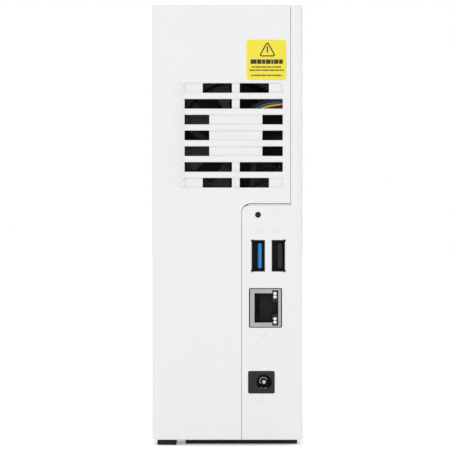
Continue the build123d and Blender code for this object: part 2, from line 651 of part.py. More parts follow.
# ---------------------------------------------------------------- network socket
LAN_CAVITY_DEPTH = 11.0
LAN_CONTACTS = 8
LAN_CONTACT_PITCH = 1.02
LAMP_SIZE = (1.8, 3.2)
LAMP_HEIGHT = 5.4
LAMP_ZONE = (LAN_CAVITY[1] - 0.1, LAMP_CENTRE + 1.4, 7.6)
LAN_BLIND = 2.2                 # depth of the shield's closed side beside the board
LAN_FOOT_GAP = 0.4              # the insulator's foot stops this far inside the wall
lan_shield_x = (lan_x - LAN_SIZE[0] / 2, lan_x + LAN_SIZE[0] / 2)


def from_board(near, far):
    """The X range between two distances from the board's component face."""
    return (board_face - far, board_face - near)


with BuildPart() as lan_shield:
    lan_z_range = across(lan_z, LAN_SIZE[1])
    block(lan_shield_x, (port_y - LAN_DEPTH, port_y), lan_z_range)
    fillet(lan_shield.edges().filter_by(Axis.Y), 0.3)
    block((lan_shield_x[0] + SHEET, lan_shield_x[1] + 1), (port_y - LAN_DEPTH + SHEET, port_y - SHEET),
          across(lan_z, LAN_SIZE[1] - 2 * SHEET), Mode.SUBTRACT)
    block((lan_shield_x[1] - SHEET, lan_shield_x[1]), (port_y - LAN_BLIND, port_y), lan_z_range)
    block(from_board(LAN_CAVITY[0], LAN_CAVITY[1]), (port_y - SHEET - 1, port_y + 1),
          across(lan_z, 2 * LAN_CAVITY[2]), Mode.SUBTRACT)
    block(from_board(LAMP_ZONE[0], LAMP_ZONE[1]), (port_y - SHEET - 1, port_y + 1),
          across(lan_z, 2 * LAMP_ZONE[2]), Mode.SUBTRACT)
    block(from_board(LAMP_ZONE[1] - 0.1, LAN_LATCH[0] + 0.4), (port_y - SHEET - 1, port_y + 1),
          across(lan_z, 2 * LAN_LATCH[1]), Mode.SUBTRACT)

with BuildPart() as lan_core:
    block((lan_shield_x[0] + SHEET, lan_shield_x[1] - SHEET), (port_y - LAN_DEPTH + SHEET, port_y - SHEET),
          across(lan_z, LAN_SIZE[1] - 2 * SHEET))
    block((lan_shield_x[1] - 2 * SHEET, board_face), (port_y - LAN_DEPTH + SHEET, rear_in - LAN_FOOT_GAP),
          across(lan_z, LAN_SIZE[1] - 2 * SHEET))
    block(from_board(LAN_CAVITY[0], LAN_CAVITY[1]), (port_y - LAN_CAVITY_DEPTH, port_y + 1),
          across(lan_z, 2 * LAN_CAVITY[2] - 0.4), Mode.SUBTRACT)
    block(from_board(LAN_CAVITY[1] - 1, LAN_LATCH[0] + 0.1), (port_y - LAN_CAVITY_DEPTH, port_y + 1),
          across(lan_z, 2 * LAN_LATCH[1]), Mode.SUBTRACT)
    for side in (-1, 1):
        block(across(board_face - LAMP_CENTRE, LAMP_SIZE[0]), (port_y - SHEET - 3, port_y + 1),
              across(lan_z + side * LAMP_HEIGHT, LAMP_SIZE[1]), Mode.SUBTRACT)

with BuildPart() as lan_lamps:
    for side in (-1, 1):
        block(across(board_face - LAMP_CENTRE, LAMP_SIZE[0]), (port_y - SHEET - 3, port_y - 0.1),
              across(lan_z + side * LAMP_HEIGHT, LAMP_SIZE[1]))
    fillet(lan_lamps.faces().group_by(Axis.Y)[-1].edges(), 0.15)

with BuildPart() as lan_contacts:
    root = (board_face - LAN_CAVITY[0], port_y - 1.6)
    tip = (board_face - LAN_CAVITY[0] - 2.4, port_y - 8.0)
    with BuildSketch(Plane.XY) as blade:
        with BuildLine():
            Polyline(
                root, (root[0], root[1] - 1.0), (tip[0] + 0.3, tip[1]), tip, (root[0] - 0.3, root[1]),
                close=True,
            )
        make_face()
    for k in range(LAN_CONTACTS):
        z = lan_z + (k - (LAN_CONTACTS - 1) / 2) * LAN_CONTACT_PITCH
        add(extrude(blade.sketch, amount=0.45, mode=Mode.PRIVATE).moved(Location((0, 0, z - 0.225))))

# ---------------------------------------------------------------- power socket
dc_hole_x = board_face - DC_HOLE
DC_HOLE_DEPTH = 9.6
DC_LEAF = 0.18
DC_LEAF_START = 5.5
with BuildPart() as dc_jack_body:
    rounded_plate(facing_rear(port_y), (dc_x, dc_z), DC_SIZE, 0.6, DC_DEPTH)
    rod((dc_hole_x, port_y + 1, dc_z), (0, -1, 0), DC_HOLE_RADIUS, DC_HOLE_DEPTH + 1, Mode.SUBTRACT)
    mouth = dc_jack_body.faces().sort_by(Axis.Y)[-1].inner_wires()[0]
    chamfer(mouth.edges(), 0.25)

with BuildPart() as dc_jack_contacts:
    rod((dc_hole_x, port_y - DC_HOLE_DEPTH, dc_z), (0, 1, 0), DC_PIN_RADIUS, DC_HOLE_DEPTH - 1.2)
    fillet(dc_jack_contacts.edges().filter_by(GeomType.CIRCLE).sort_by(Axis.Y)[-1], 0.5)
    # The sprung leaf that lies along the bottom of the hole.
    with BuildSketch(facing_rear(port_y - DC_LEAF_START)) as leaf:
        with Locations((dc_hole_x, dc_z)):
            Circle(DC_HOLE_RADIUS)
            Circle(DC_HOLE_RADIUS - DC_LEAF, mode=Mode.SUBTRACT)
        with Locations((dc_hole_x, dc_z - DC_HOLE_RADIUS)):
            Rectangle(DC_HOLE_RADIUS, DC_HOLE_RADIUS, mode=Mode.INTERSECT)
    extrude(leaf.sketch, amount=DC_HOLE_DEPTH - DC_LEAF_START)

# ---------------------------------------------------------------- push switches
PLUNGER_GAP = 0.05
RESET_PLUNGER = 1.0
reset_front = rear_in - 3.4
RESET_REACH = 2.0
PLUNGER_REACH = 2.4


def switch_body(z, near, facing, plunger):
    """A switch standing on the board, with a bore for its plunger."""
    block((board_face - CONTROL_CENTRE - SWITCH_SIZE / 2, board_face),
          inward(near, facing, 0, SWITCH_DEPTH), across(z, SWITCH_SIZE))
    rod((control_x, near + facing, z), (0, -facing, 0), plunger + PLUNGER_GAP, SWITCH_DEPTH - 0.4 + 1,
        Mode.SUBTRACT)


def plunger(x, z, near, facing, radius, reach):
    """A switch plunger, from deep in its bore to its tip in front of the switch."""
    with BuildPart() as pin:
        rod((x, near - facing * (SWITCH_DEPTH - 0.4 - BUTTON_TRAVEL - 0.1), z), (0, facing, 0), radius,
            SWITCH_DEPTH - 0.5 - BUTTON_TRAVEL + reach)
    return pin.part


with BuildPart() as reset_switch:
    block((board_face - RESET_CENTRE - 2.6, board_face), inward(reset_front, 1, 0, SWITCH_DEPTH),
          across(reset_z, SWITCH_SIZE))
    rod((reset_x, reset_front + 1, reset_z), (0, -1, 0), RESET_PLUNGER + PLUNGER_GAP,
        SWITCH_DEPTH - 0.4 + 1, Mode.SUBTRACT)
reset_plunger = plunger(reset_x, reset_z, reset_front, 1, RESET_PLUNGER, RESET_REACH)

power_z = bottom_z + POWER_HEIGHT
copy_z = bottom_z + COPY_HEIGHT
switch_front = board_y0 + 2.0
with BuildPart() as front_switches:
    for z in (power_z, copy_z):
        switch_body(z, switch_front, -1, PLUNGER_RADIUS)
power_plunger = plunger(control_x, power_z, switch_front, -1, PLUNGER_RADIUS, PLUNGER_REACH)
copy_plunger = plunger(control_x, copy_z, switch_front, -1, PLUNGER_RADIUS, PLUNGER_REACH)

# ---------------------------------------------------------------- buttons and lamps
CAP_STANDS_OUT = 0.35
FLANGE = 1.1
stem_end = switch_front - PLUNGER_REACH
cap_front = front_y + CONTROL_RECESS - CAP_STANDS_OUT
flange_front = front_in + 0.05
with BuildPart() as power_button:
    rod((control_x, cap_front, power_z), (0, 1, 0), POWER_RADIUS, flange_front - cap_front)
    fillet(power_button.edges().filter_by(GeomType.CIRCLE).sort_by(Axis.Y)[0], 0.5)
    rod((control_x, flange_front, power_z), (0, 1, 0), POWER_RADIUS + FLANGE, 0.9)
    rod((control_x, flange_front, power_z), (0, 1, 0), PLUNGER_RADIUS, stem_end - flange_front)

with BuildPart() as copy_button:
    rounded_plate(facing_rear(flange_front), (control_x, copy_z), COPY_SIZE, 1.2,
                  flange_front - cap_front)
    fillet(copy_button.faces().sort_by(Axis.Y)[0].edges(), 0.4)
    rounded_plate(facing_rear(flange_front + 0.9), (control_x, copy_z),
                  (COPY_SIZE[0] + 2 * FLANGE, COPY_SIZE[1] + 2 * FLANGE), 1.6, 0.9)
    rod((control_x, flange_front, copy_z), (0, 1, 0), PLUNGER_RADIUS, stem_end - flange_front)

LED_DEPTH = 2.4
led_front = board_y0 + 2.6
with BuildPart() as light_pipe:
    lamps_z = [bottom_z + height for height in LAMP_HEIGHTS]
    for z in lamps_z:
        rounded_plate(facing_rear(led_front - 0.3), (control_x, z), (3.0, 1.1), 0.5,
                      led_front - 0.3 - (front_y + CONTROL_RECESS))
    block(across(control_x, 5.0), (front_in, front_in + 1.5), (lamps_z[0] - 3, lamps_z[-1] + 3))

with BuildPart() as status_leds:
    for z in lamps_z:
        block((control_x - 1.6, board_face), (led_front, led_front + LED_DEPTH), across(z, 2.6))

# ---------------------------------------------------------------- circuit board
SOC_SIZE = 17.0
SOC_HEIGHT = 1.4
soc = (6.0, bottom_z + 64.0)
with BuildPart() as main_board:
    block((board_face, board_back), (board_y0, board_y1), (board_z0, board_z1))
    fillet(main_board.edges().filter_by(Axis.X), 1.5)
    for y, z in board_posts:
        rod((board_face - 1, y, z), (1, 0, 0), 1.6, BOARD_THICKNESS + 2, Mode.SUBTRACT)

MEMORY = (9.0, 13.0, 1.1)
chips = [
    (soc[0] + 17, soc[1] + 8, MEMORY), (soc[0] + 17, soc[1] - 8, MEMORY),
    (soc[0] - 18, soc[1] + 10, (12.0, 8.0, 1.0)), (soc[0] - 20, soc[1] - 20, (8.0, 8.0, 0.9)),
    (board_y1 - 22, lan_z, (7.0, 7.0, 0.9)), (soc[0] - 4, soc[1] - 33, (7.0, 7.0, 0.9)),
]
with BuildPart() as board_chips:
    block((board_face - SOC_HEIGHT, board_face), across(soc[0], SOC_SIZE), across(soc[1], SOC_SIZE))
    for y, z, (long_y, long_z, thick) in chips:
        block((board_face - thick, board_face), across(y, long_y), across(z, long_z))

SINK_SIZE = 30.0
SINK_BASE = 2.2
SINK_FINS = 9
FIN = 1.0
sink_x = board_face - SOC_HEIGHT
with BuildPart() as heat_sink:
    block((sink_x - SINK_BASE, sink_x), across(soc[0], SINK_SIZE - 6), across(soc[1], SINK_SIZE))
    for k in range(SINK_FINS):
        y = soc[0] + (k - (SINK_FINS - 1) / 2) * (SINK_SIZE - 6 - FIN) / (SINK_FINS - 1)
        block((sink_x - 9.0, sink_x - SINK_BASE + 0.1), across(y, FIN), across(soc[1], SINK_SIZE))

coils = [(board_y1 - 26, dc_z + 8), (board_y1 - 26, dc_z - 6), (soc[0] + 14, soc[1] - 30)]
COIL = (6.0, 3.0)
with BuildPart() as power_coils:
    for y, z in coils:
        block((board_face - COIL[1], board_face), across(y, COIL[0]), across(z, COIL[0]))
    fillet(power_coils.edges().filter_by(Axis.X), 1.2)

cans = [(board_y1 - 35, dc_z + 10, 3.1, 7.7), (board_y1 - 35, dc_z - 2, 3.1, 7.7),
        (board_y0 + 26, front_usb_z - 4, 2.5, 5.8), (soc[0] - 30, soc[1] - 6, 2.5, 5.8)]
with BuildPart() as capacitors:
    for y, z, radius, height in cans:
        block((board_face - 0.8, board_face), across(y, 2 * radius), across(z, 2 * radius))
        rod((board_face - 0.8, y, z), (-1, 0, 0), radius - 0.15, height - 0.8)

with BuildPart() as board_screws:
    screw = pan_head_screw(2.5, 1.9, SCREW_SHANK, 8.0)
    for y, z in board_posts:
        plane = Plane(origin=(board_back, y, z), x_dir=(0, 1, 0), z_dir=(1, 0, 0))
        add(plane.location * screw)

# ---------------------------------------------------------------- fan
FAN_BORE = FAN_SIZE / 2 - 1.4
FAN_HOLES = FAN_SIZE / 2 - 5.0
HUB_PLATE = 2.4
HUB_RADIUS = 11.35
ROTOR_RADIUS = 10.5
BLADES = 7
BLADE_TIP = FAN_BORE - 1.3
PLAIN_STRUTS = (-21.0, 219.0)   # where the struts leave the hub plate
PLAIN_SLANT = 55.0              # how far they lean from the radius there
PLAIN_WIDTH = 2.4
LEAD_STRUT = 120.0              # the strut that carries the leads
LEAD_SLANT = 26.0
STRUT_ROOT = 2.0                # how far a strut reaches into the hub plate
STRUT_TOE = 1.2                 # and into the frame
LEAD_RADIUS = 0.5
LEAD_PITCH = 1.2
LEAD_SINK = 0.8                 # lead centres below the fan's rear face
LEAD_BED = 1.4                  # depth of the channel for the leads
LEAD_BELOW_SCREW = 5.1          # the leads cross the frame this far below its screws
LEAD_BEFORE_SCREW = 10.8        # and run straight up to this far short of them
NOTCH_DEPTH = 6.4
SHAFT_RADIUS = 1.15
BEARING_RADIUS = 2.4
TUBE_RADIUS = 3.4
RUNNING_GAP = 0.05
FAN_SHANK = 1.9
FAN_HEAD = 3.0
HEAD_SINK = 1.1                 # screw heads lie this deep in the frame


def fan_point(radius, angle, y):
    """A point at a radius and an angle about the fan's axis."""
    return (fan_x + radius * cos(radians(angle)), y, fan_z + radius * sin(radians(angle)))


lead_angle = LEAD_STRUT + LEAD_SLANT
lead_run = (cos(radians(lead_angle)), sin(radians(lead_angle)))
lead_side = (lead_run[1], -lead_run[0])
lead_y = fan_y1 - LEAD_SINK
lead_start = fan_point(8.9, LEAD_STRUT - 2, lead_y)
gap_x = (right_in + fan_x - FAN_SIZE / 2) / 2
lead_level = fan_z + FAN_HOLES - LEAD_BELOW_SCREW
lead_straight = FAN_HOLES - LEAD_BEFORE_SCREW
bed_width = 3 * LEAD_PITCH + 2 * LEAD_RADIUS + 0.4


def strut(angle, slant, width, y_range):
    """A slanted arm between the hub plate and the frame."""
    start = 0.93 * HUB_RADIUS
    turn = start * cos(radians(slant))
    end = FAN_BORE + STRUT_TOE
    length = sqrt(turn**2 - start**2 + end**2) - turn
    with BuildSketch(facing_rear(y_range[1])) as outline:
        edge = fan_point(start, angle, 0)
        lean = angle + slant
        middle = (length - STRUT_ROOT) / 2
        with Locations((edge[0] + middle * cos(radians(lean)), edge[2] + middle * sin(radians(lean)))):
            Rectangle(length + STRUT_ROOT, width, rotation=lean)
    extrude(outline.sketch, amount=y_range[1] - y_range[0])


with BuildPart() as fan_frame:
    block(across(fan_x, FAN_SIZE), (fan_y0, fan_y1), across(fan_z, FAN_SIZE))
    fillet(fan_frame.edges().filter_by(Axis.Y), 2.5)
    rod((fan_x, fan_y1 + 1, fan_z), (0, -1, 0), FAN_BORE, FAN_DEPTH + 2, Mode.SUBTRACT)
    chamfer(fan_frame.edges().filter_by(GeomType.CIRCLE).filter_by(
        lambda edge: abs(edge.radius - FAN_BORE) < 0.01), 0.5)
    for side in (-1, 1):
        for rise in (-1, 1):
            place = (fan_x + side * FAN_HOLES, fan_y1, fan_z + rise * FAN_HOLES)
            rod(place, (0, -1, 0), FAN_SHANK + 0.25, FAN_DEPTH + 1, Mode.SUBTRACT)
            rod(place, (0, -1, 0), FAN_HEAD + 0.2, HEAD_SINK, Mode.SUBTRACT)
    # The notch that the leads leave through.
    block((fan_x - FAN_SIZE / 2 - 1, fan_x - FAN_BORE + 8.5), (fan_y1 - NOTCH_DEPTH, fan_y1 + 1),
          across(lead_level - 0.5, bed_width + 1.0), Mode.SUBTRACT)
    rod((fan_x, fan_y1, fan_z), (0, -1, 0), HUB_RADIUS, HUB_PLATE)
    strut(LEAD_STRUT, LEAD_SLANT, bed_width - 0.6, (fan_y1 - LEAD_BED - 1.2, fan_y1 - LEAD_BED))
    for angle in PLAIN_STRUTS:
        strut(angle, PLAIN_SLANT, PLAIN_WIDTH, (fan_y1 - HUB_PLATE, fan_y1))
    rod((fan_x, fan_y1 - HUB_PLATE / 2, fan_z), (0, -1, 0), TUBE_RADIUS,
        FAN_DEPTH - 3.6 - HUB_PLATE / 2)
    rod((fan_x, fan_y1 - HUB_PLATE, fan_z), (0, -1, 0), BEARING_RADIUS, FAN_DEPTH, Mode.SUBTRACT)
    # The bed for the leads in the hub plate.
    with BuildSketch(facing_rear(fan_y1)) as bed:
        with Locations((lead_start[0] + 5 * lead_run[0], lead_start[2] + 5 * lead_run[1])):
            Rectangle(10, bed_width, rotation=lead_angle)
    extrude(bed.sketch, amount=LEAD_BED, mode=Mode.SUBTRACT)

with BuildPart() as fan_bearing:
    bearing_length = FAN_DEPTH - 3.6 - HUB_PLATE
    rod((fan_x, fan_y1 - HUB_PLATE, fan_z), (0, -1, 0), BEARING_RADIUS - 0.01, bearing_length)
    rod((fan_x, fan_y1, fan_z), (0, -1, 0), SHAFT_RADIUS + RUNNING_GAP, FAN_DEPTH, Mode.SUBTRACT)

rotor_front = fan_y0 + 1.0
rotor_back = fan_y1 - HUB_PLATE - 0.6
with BuildPart() as fan_rotor:
    for k in range(BLADES):
        angle = 360 / BLADES * k
        direction = (cos(radians(angle)), 0, sin(radians(angle)))
        for radius, chord, pitch in ((ROTOR_RADIUS - 0.8, 8.4, 52.0), (BLADE_TIP, 9.6, 34.0)):
            root = fan_point(radius, angle, (fan_y0 + fan_y1) / 2 - 1.7)
            with BuildSketch(Plane(origin=root, x_dir=(0, 1, 0), z_dir=direction)):
                Rectangle(0.9, chord, rotation=pitch)
        loft()
    rod((fan_x, rotor_front, fan_z), (0, 1, 0), ROTOR_RADIUS, rotor_back - rotor_front)
    rod((fan_x, rotor_front + 1.4, fan_z), (0, 1, 0), ROTOR_RADIUS - 1.4, FAN_DEPTH, Mode.SUBTRACT)
    fillet(fan_rotor.edges().filter_by(GeomType.CIRCLE).sort_by(Axis.Y)[0], 0.6)

with BuildPart() as fan_shaft:
    rod((fan_x, rotor_front + 1.4, fan_z), (0, 1, 0), SHAFT_RADIUS, FAN_DEPTH - 2.4 - HUB_PLATE - 0.3)

with BuildPart() as fan_stator:
    with BuildSketch(facing_rear(fan_y1 - HUB_PLATE)) as poles:
        with Locations((fan_x, fan_z)):
            Circle(5.0)
            with PolarLocations(0, 4):
                with Locations((4.5, 0)):
                    Rectangle(7.0, 2.4)
            Circle(8.4)
            with PolarLocations(6.7, 4, start_angle=45):
                Circle(1.9, mode=Mode.SUBTRACT)
            Circle(TUBE_RADIUS + 0.02, mode=Mode.SUBTRACT)
    extrude(poles.sketch, amount=5.6)

# ---------------------------------------------------------------- fan bracket
FAN_SHEET = 1.0
EAR_REACH = 15.0
with BuildPart() as fan_bracket:
    block(across(fan_x, FAN_SIZE), (fan_y0 - FAN_SHEET, fan_y0), across(fan_z, FAN_SIZE))
    fillet(fan_bracket.edges().filter_by(Axis.Y), 2.0)
    rod((fan_x, fan_y0 + 1, fan_z), (0, -1, 0), FAN_BORE - 0.2, 4, Mode.SUBTRACT)
    block((right_in + EAR_BOSS, right_in + EAR_BOSS + FAN_SHEET), (fan_y0 - EAR_REACH, fan_y0),
          (fan_z - 19.5, fan_z + 24.5))
    for side in (-1, 1):
        for rise in (-1, 1):
            rod((fan_x + side * FAN_HOLES, fan_y0, fan_z + rise * FAN_HOLES), (0, -1, 0),
                FAN_SHANK + 0.05, FAN_SHEET, Mode.SUBTRACT)
    for y, z in ear_posts:
        rod((right_in + EAR_BOSS - 1, y, z), (1, 0, 0), 1.5, 4, Mode.SUBTRACT)

with BuildPart() as fan_screws:
    screw = pan_head_screw(FAN_HEAD, 0.9, FAN_SHANK, FAN_DEPTH + FAN_SHEET - HEAD_SINK)
    for side in (-1, 1):
        for rise in (-1, 1):
            place = (fan_x + side * FAN_HOLES, fan_y1 - HEAD_SINK, fan_z + rise * FAN_HOLES)
            add(Plane(origin=place, x_dir=(1, 0, 0), z_dir=(0, 1, 0)).location * screw)
    screw = pan_head_screw(2.7, 1.8, SCREW_SHANK, FAN_SHEET + 3.6)
    for y, z in ear_posts:
        place = (right_in + EAR_BOSS + FAN_SHEET, y, z)
        add(Plane(origin=place, x_dir=(0, 1, 0), z_dir=(1, 0, 0)).location * screw)

# ---------------------------------------------------------------- fan connector and leads
header_y = board_y1 - 22.5
header_z = (board_z1 - 19.0, board_z1 - 12.0)
PLUG = (4.2, 8.2)
PIN_PITCH = 2.0
PLUG_GAP = 0.1
header_x = board_face - 3.0
with BuildPart() as fan_header:
    block((board_face - 6.0, board_face), across(header_y, 10.0), header_z)
    block(across(header_x, PLUG[0] + 2 * PLUG_GAP), across(header_y, PLUG[1] + 2 * PLUG_GAP),
          (header_z[0] + 2, header_z[1] + 1), Mode.SUBTRACT)
    block((board_face - 7, header_x), across(header_y, 4.0), (header_z[0] + 3.5, header_z[1] + 1),
          Mode.SUBTRACT)

plug_top = header_z[1] + 4.5
with BuildPart() as fan_plug:
    block(across(header_x, PLUG[0]), across(header_y, PLUG[1]), (header_z[0] + 2, plug_top))
    chamfer(fan_plug.faces().sort_by(Axis.Z)[-1].edges(), 0.3)


def tangent_radii(points):
    """The largest comfortable bend at each inner point of a route."""
    radii = []
    for before, here, after in zip(points, points[1:], points[2:]):
        a = Vector(*here) - Vector(*before)
        b = Vector(*after) - Vector(*here)
        half = radians(a.get_angle(b)) / 2
        radii.append(0.45 * min(a.length, b.length) * cos(half) / sin(half))
    return radii


def lead_route(order):
    """The centre line of one fan lead: from the hub, over the rim, down the wall, to the plug."""
    offset = (1.5 - order) * LEAD_PITCH
    down = fan_y0 - 3.5 - offset
    pin = header_y + (order - 1.5) * PIN_PITCH
    start = (lead_start[0] + offset * lead_side[0], lead_y, lead_start[2] + offset * lead_side[1])
    return [
        start,
        (start[0] + lead_straight * lead_run[0], lead_y, start[2] + lead_straight * lead_run[1]),
        (gap_x, lead_y, lead_level + offset),
        (gap_x, down, lead_level + offset),
        (gap_x, down, fan_z - 11.0),
        (gap_x + 2.2, down - 0.6, fan_z - 26.5),
        (header_x, pin, plug_top + 7.5),
        (header_x, pin, plug_top),
    ]


def lead(order):
    """One insulated fan lead swept along its route."""
    route = lead_route(order)
    with BuildPart() as tube:
        with BuildLine() as path:
            FilletPolyline(*route, radius=tangent_radii(route))
        with BuildSketch(Plane(origin=route[0], z_dir=Vector(*route[1]) - Vector(*route[0]))):
            Circle(LEAD_RADIUS)
        sweep(path=path.line)
    return tube.part


LEADS = ("black", "blue", "yellow", "red")

# ---------------------------------------------------------------- drive bracket
STANDOFF_RADIUS = 4.5
DRIVE_HOLE = 1.75
DRIVE_SHANK = 1.7
drive_holes = [
    (drive_y + side * 47.625, drive_z0 + height) for side in (-1, 1) for height in (41.28, 85.73)
]
plate_y = (drive_y0 - 3.0, clip_y[1][1] + 2.0)
plate_z = (bottom_in + 9.2, bracket_top)
with BuildPart() as drive_bracket:
    block((bracket_x0, bracket_x1), plate_y, plate_z)
    fillet(drive_bracket.edges().filter_by(Axis.X), 3.0)
    for y0, y1 in clip_y:
        block((bracket_x0, bracket_x1), (y0 + 1, y1 - 1), (CLIP_SLOT, plate_z[0] + 4))
    with BuildSketch(facing_side(bracket_x0 - 1)) as windows:
        with Locations((drive_y, (drive_z0 + 58.0))):
            RectangleRounded(74.0, 62.0, 6.0)
        with Locations((drive_y, drive_z1 - 32.0)):
            RectangleRounded(74.0, 34.0, 6.0)
    extrude(windows.sketch, amount=BRACKET_SHEET + 2, mode=Mode.SUBTRACT)
    block((bracket_x0, bracket_x1 + 7.0), (plate_y[0] + 4, drive_y1 + 4),
          (plate_z[1] - BRACKET_SHEET, plate_z[1]))
    for y, z in drive_holes:
        rod((bracket_x1 - 0.2, y, z), (1, 0, 0), STANDOFF_RADIUS, STANDOFF + 0.2)
        rod((bracket_x0 - 1, y, z), (1, 0, 0), DRIVE_HOLE + 0.05, BRACKET_SHEET + STANDOFF + 2,
            Mode.SUBTRACT)
    for y, z in bracket_posts:
        rod((bracket_x0 - 1, y, z), (1, 0, 0), 1.5, BRACKET_SHEET + 2, Mode.SUBTRACT)

with BuildPart() as bracket_screws:
    screw = pan_head_screw(2.7, 1.8, SCREW_SHANK, BRACKET_SHEET + 6.0)
    for y, z in bracket_posts:
        add(Plane(origin=(bracket_x1, y, z), x_dir=(0, 1, 0), z_dir=(1, 0, 0)).location * screw)

with BuildPart() as drive_screws:
    screw = pan_head_screw(3.0, 1.6, DRIVE_SHANK, BRACKET_SHEET + STANDOFF + 4.0)
    for y, z in drive_holes:
        add(Plane(origin=(bracket_x0, y, z), x_dir=(0, 1, 0), z_dir=(-1, 0, 0)).location * screw)

# ---------------------------------------------------------------- drive
LID = 1.2
WELL_FLOOR = 7.0
PLATTER_RADIUS = 46.5
WELL_RADIUS = PLATTER_RADIUS + 1.8
CHAMBER = 46.0
BOARD_RECESS = 2.2
SPINDLE_RADIUS = 4.0
PIVOT_RADIUS = 2.5
DISC = 1.27
spindle = (drive_y, drive_z1 - DRIVE_WIDTH / 2)
pivot = (drive_y + 25.0, drive_z0 + 34.0)
floor_x = drive_x0 + WELL_FLOOR
lid_x = drive_x1 - LID
disc_x = (floor_x + 3.2, floor_x + 8.2)
sata_y = drive_y + 20.0
sata_x = drive_x0 + 4.4
SATA_BODY = (6.6, 42.0)
SATA_DEPTH = 8.0
SATA_BLADE = 1.2
blades = [(sata_y - 13.5, 10.4), (sata_y + 6.5, 20.6)]
drive_board_z = (drive_z0 + 9.0, drive_z0 + 74.0)
lid_screw_places = [
    (drive_y + side * (DRIVE_WIDTH / 2 - 3.6), drive_z0 + height)
    for side in (-1, 1) for height in (4.0, 58.0, DRIVE_LENGTH - 4.0)
]

with BuildPart() as drive_base:
    block((drive_x0, lid_x), (drive_y0, drive_y1), (drive_z0, drive_z1))
    fillet(drive_base.edges().filter_by(Axis.X), 2.5)
    rod((floor_x, spindle[0], spindle[1]), (1, 0, 0), WELL_RADIUS, DRIVE_THICKNESS, Mode.SUBTRACT)
    block((floor_x, lid_x + 1), across(drive_y, 2 * CHAMBER), (drive_z0 + 10, spindle[1] - 20),
          Mode.SUBTRACT)
    block((drive_x0 - 1, drive_x0 + BOARD_RECESS), across(drive_y, 88.0), drive_board_z, Mode.SUBTRACT)
    block(across(sata_x, SATA_BODY[0]), across(sata_y, SATA_BODY[1]), (drive_z0 - 1, drive_z0 + SATA_DEPTH),
          Mode.SUBTRACT)
    rod((floor_x - 0.5, spindle[0], spindle[1]), (1, 0, 0), SPINDLE_RADIUS, 12.0)
    rod((floor_x - 0.5, pivot[0], pivot[1]), (1, 0, 0), PIVOT_RADIUS, 14.0)
    for y, z in drive_holes:
        rod((drive_x0 - 1, y, z), (1, 0, 0), DRIVE_HOLE, 5.3, Mode.SUBTRACT)
    for side in (-1, 1):
        for height in (28.5, 70.1, 130.1):
            rod((drive_x0 + 6.35, drive_y + side * (DRIVE_WIDTH / 2 + 1), drive_z0 + height),
                (0, -side, 0), DRIVE_HOLE, 3.2, Mode.SUBTRACT)
    for y, z in lid_screw_places:
        rod((lid_x + 1, y, z), (-1, 0, 0), 0.85, 6.0, Mode.SUBTRACT)

with BuildPart() as drive_lid:
    block((lid_x, drive_x1), (drive_y0, drive_y1), (drive_z0, drive_z1))
    fillet(drive_lid.edges().filter_by(Axis.X), 2.5)
    rod((drive_x1 - 0.4, spindle[0], spindle[1]), (1, 0, 0), 12.0, 1, Mode.SUBTRACT)
    with BuildSketch(facing_side(drive_x1 - 0.35)) as pressing:
        with Locations((drive_y, drive_z0 + 30.0)):
            RectangleRounded(70.0, 36.0, 5.0)
    extrude(pressing.sketch, amount=1, mode=Mode.SUBTRACT)
    for y, z in lid_screw_places:
        rod((lid_x - 1, y, z), (1, 0, 0), 1.0, 4, Mode.SUBTRACT)

with BuildPart() as drive_lid_screws:
    screw = pan_head_screw(1.9, 0.8, 0.8, LID + 4.0)
    for y, z in lid_screw_places:
        add(Plane(origin=(drive_x1, y, z), x_dir=(0, 1, 0), z_dir=(1, 0, 0)).location * screw)

with BuildPart() as drive_board:
    block((drive_x0 + 1.0, drive_x0 + BOARD_RECESS), across(drive_y, 86.0),
          (drive_board_z[0] + 0.5, drive_board_z[1] - 0.5))
    for y, z, size in ((drive_y - 12, 30, 12), (drive_y + 14, 42, 9), (drive_y - 24, 52, 7)):
        block((drive_x0 + 0.1, drive_x0 + 1.0), across(y, size), across(drive_z0 + z, size))

with BuildPart() as drive_connector:
    block(across(sata_x, SATA_BODY[0]), across(sata_y, SATA_BODY[1]), (drive_z0, drive_z0 + SATA_DEPTH))
    for y, length in blades:
        block(across(sata_x, SATA_BLADE + 0.3), across(y, length + 0.4), (drive_z0 - 1, drive_z0 + 4.4),
              Mode.SUBTRACT)

with BuildPart() as drive_platters:
    hub_x = (floor_x + 0.4, disc_x[1] + DISC + 1.6)
    rod((hub_x[0], spindle[0], spindle[1]), (1, 0, 0), 12.5, hub_x[1] - hub_x[0])
    for x in disc_x:
        rod((x, spindle[0], spindle[1]), (1, 0, 0), PLATTER_RADIUS, DISC)
    rod((floor_x, spindle[0], spindle[1]), (1, 0, 0), SPINDLE_RADIUS + RUNNING_GAP, 12.4, Mode.SUBTRACT)

ARM_LENGTH = 44.0
ARM_PARK = 68.9                 # degrees from +Z towards -Y
finger_x = [
    (disc_x[0] - 1.8, disc_x[0] - 0.8),
    (disc_x[0] + DISC + 1.2, disc_x[1] - 1.2),
    (disc_x[1] + DISC + 0.8, disc_x[1] + DISC + 1.8),
]
along = (-sin(radians(ARM_PARK)), cos(radians(ARM_PARK)))
sideways = (along[1], -along[0])


def arm_point(forward, aside):
    """A point of the arm, along it and across it from the pivot."""
    return (
        pivot[0] + forward * along[0] + aside * sideways[0],
        pivot[1] + forward * along[1] + aside * sideways[1],
    )


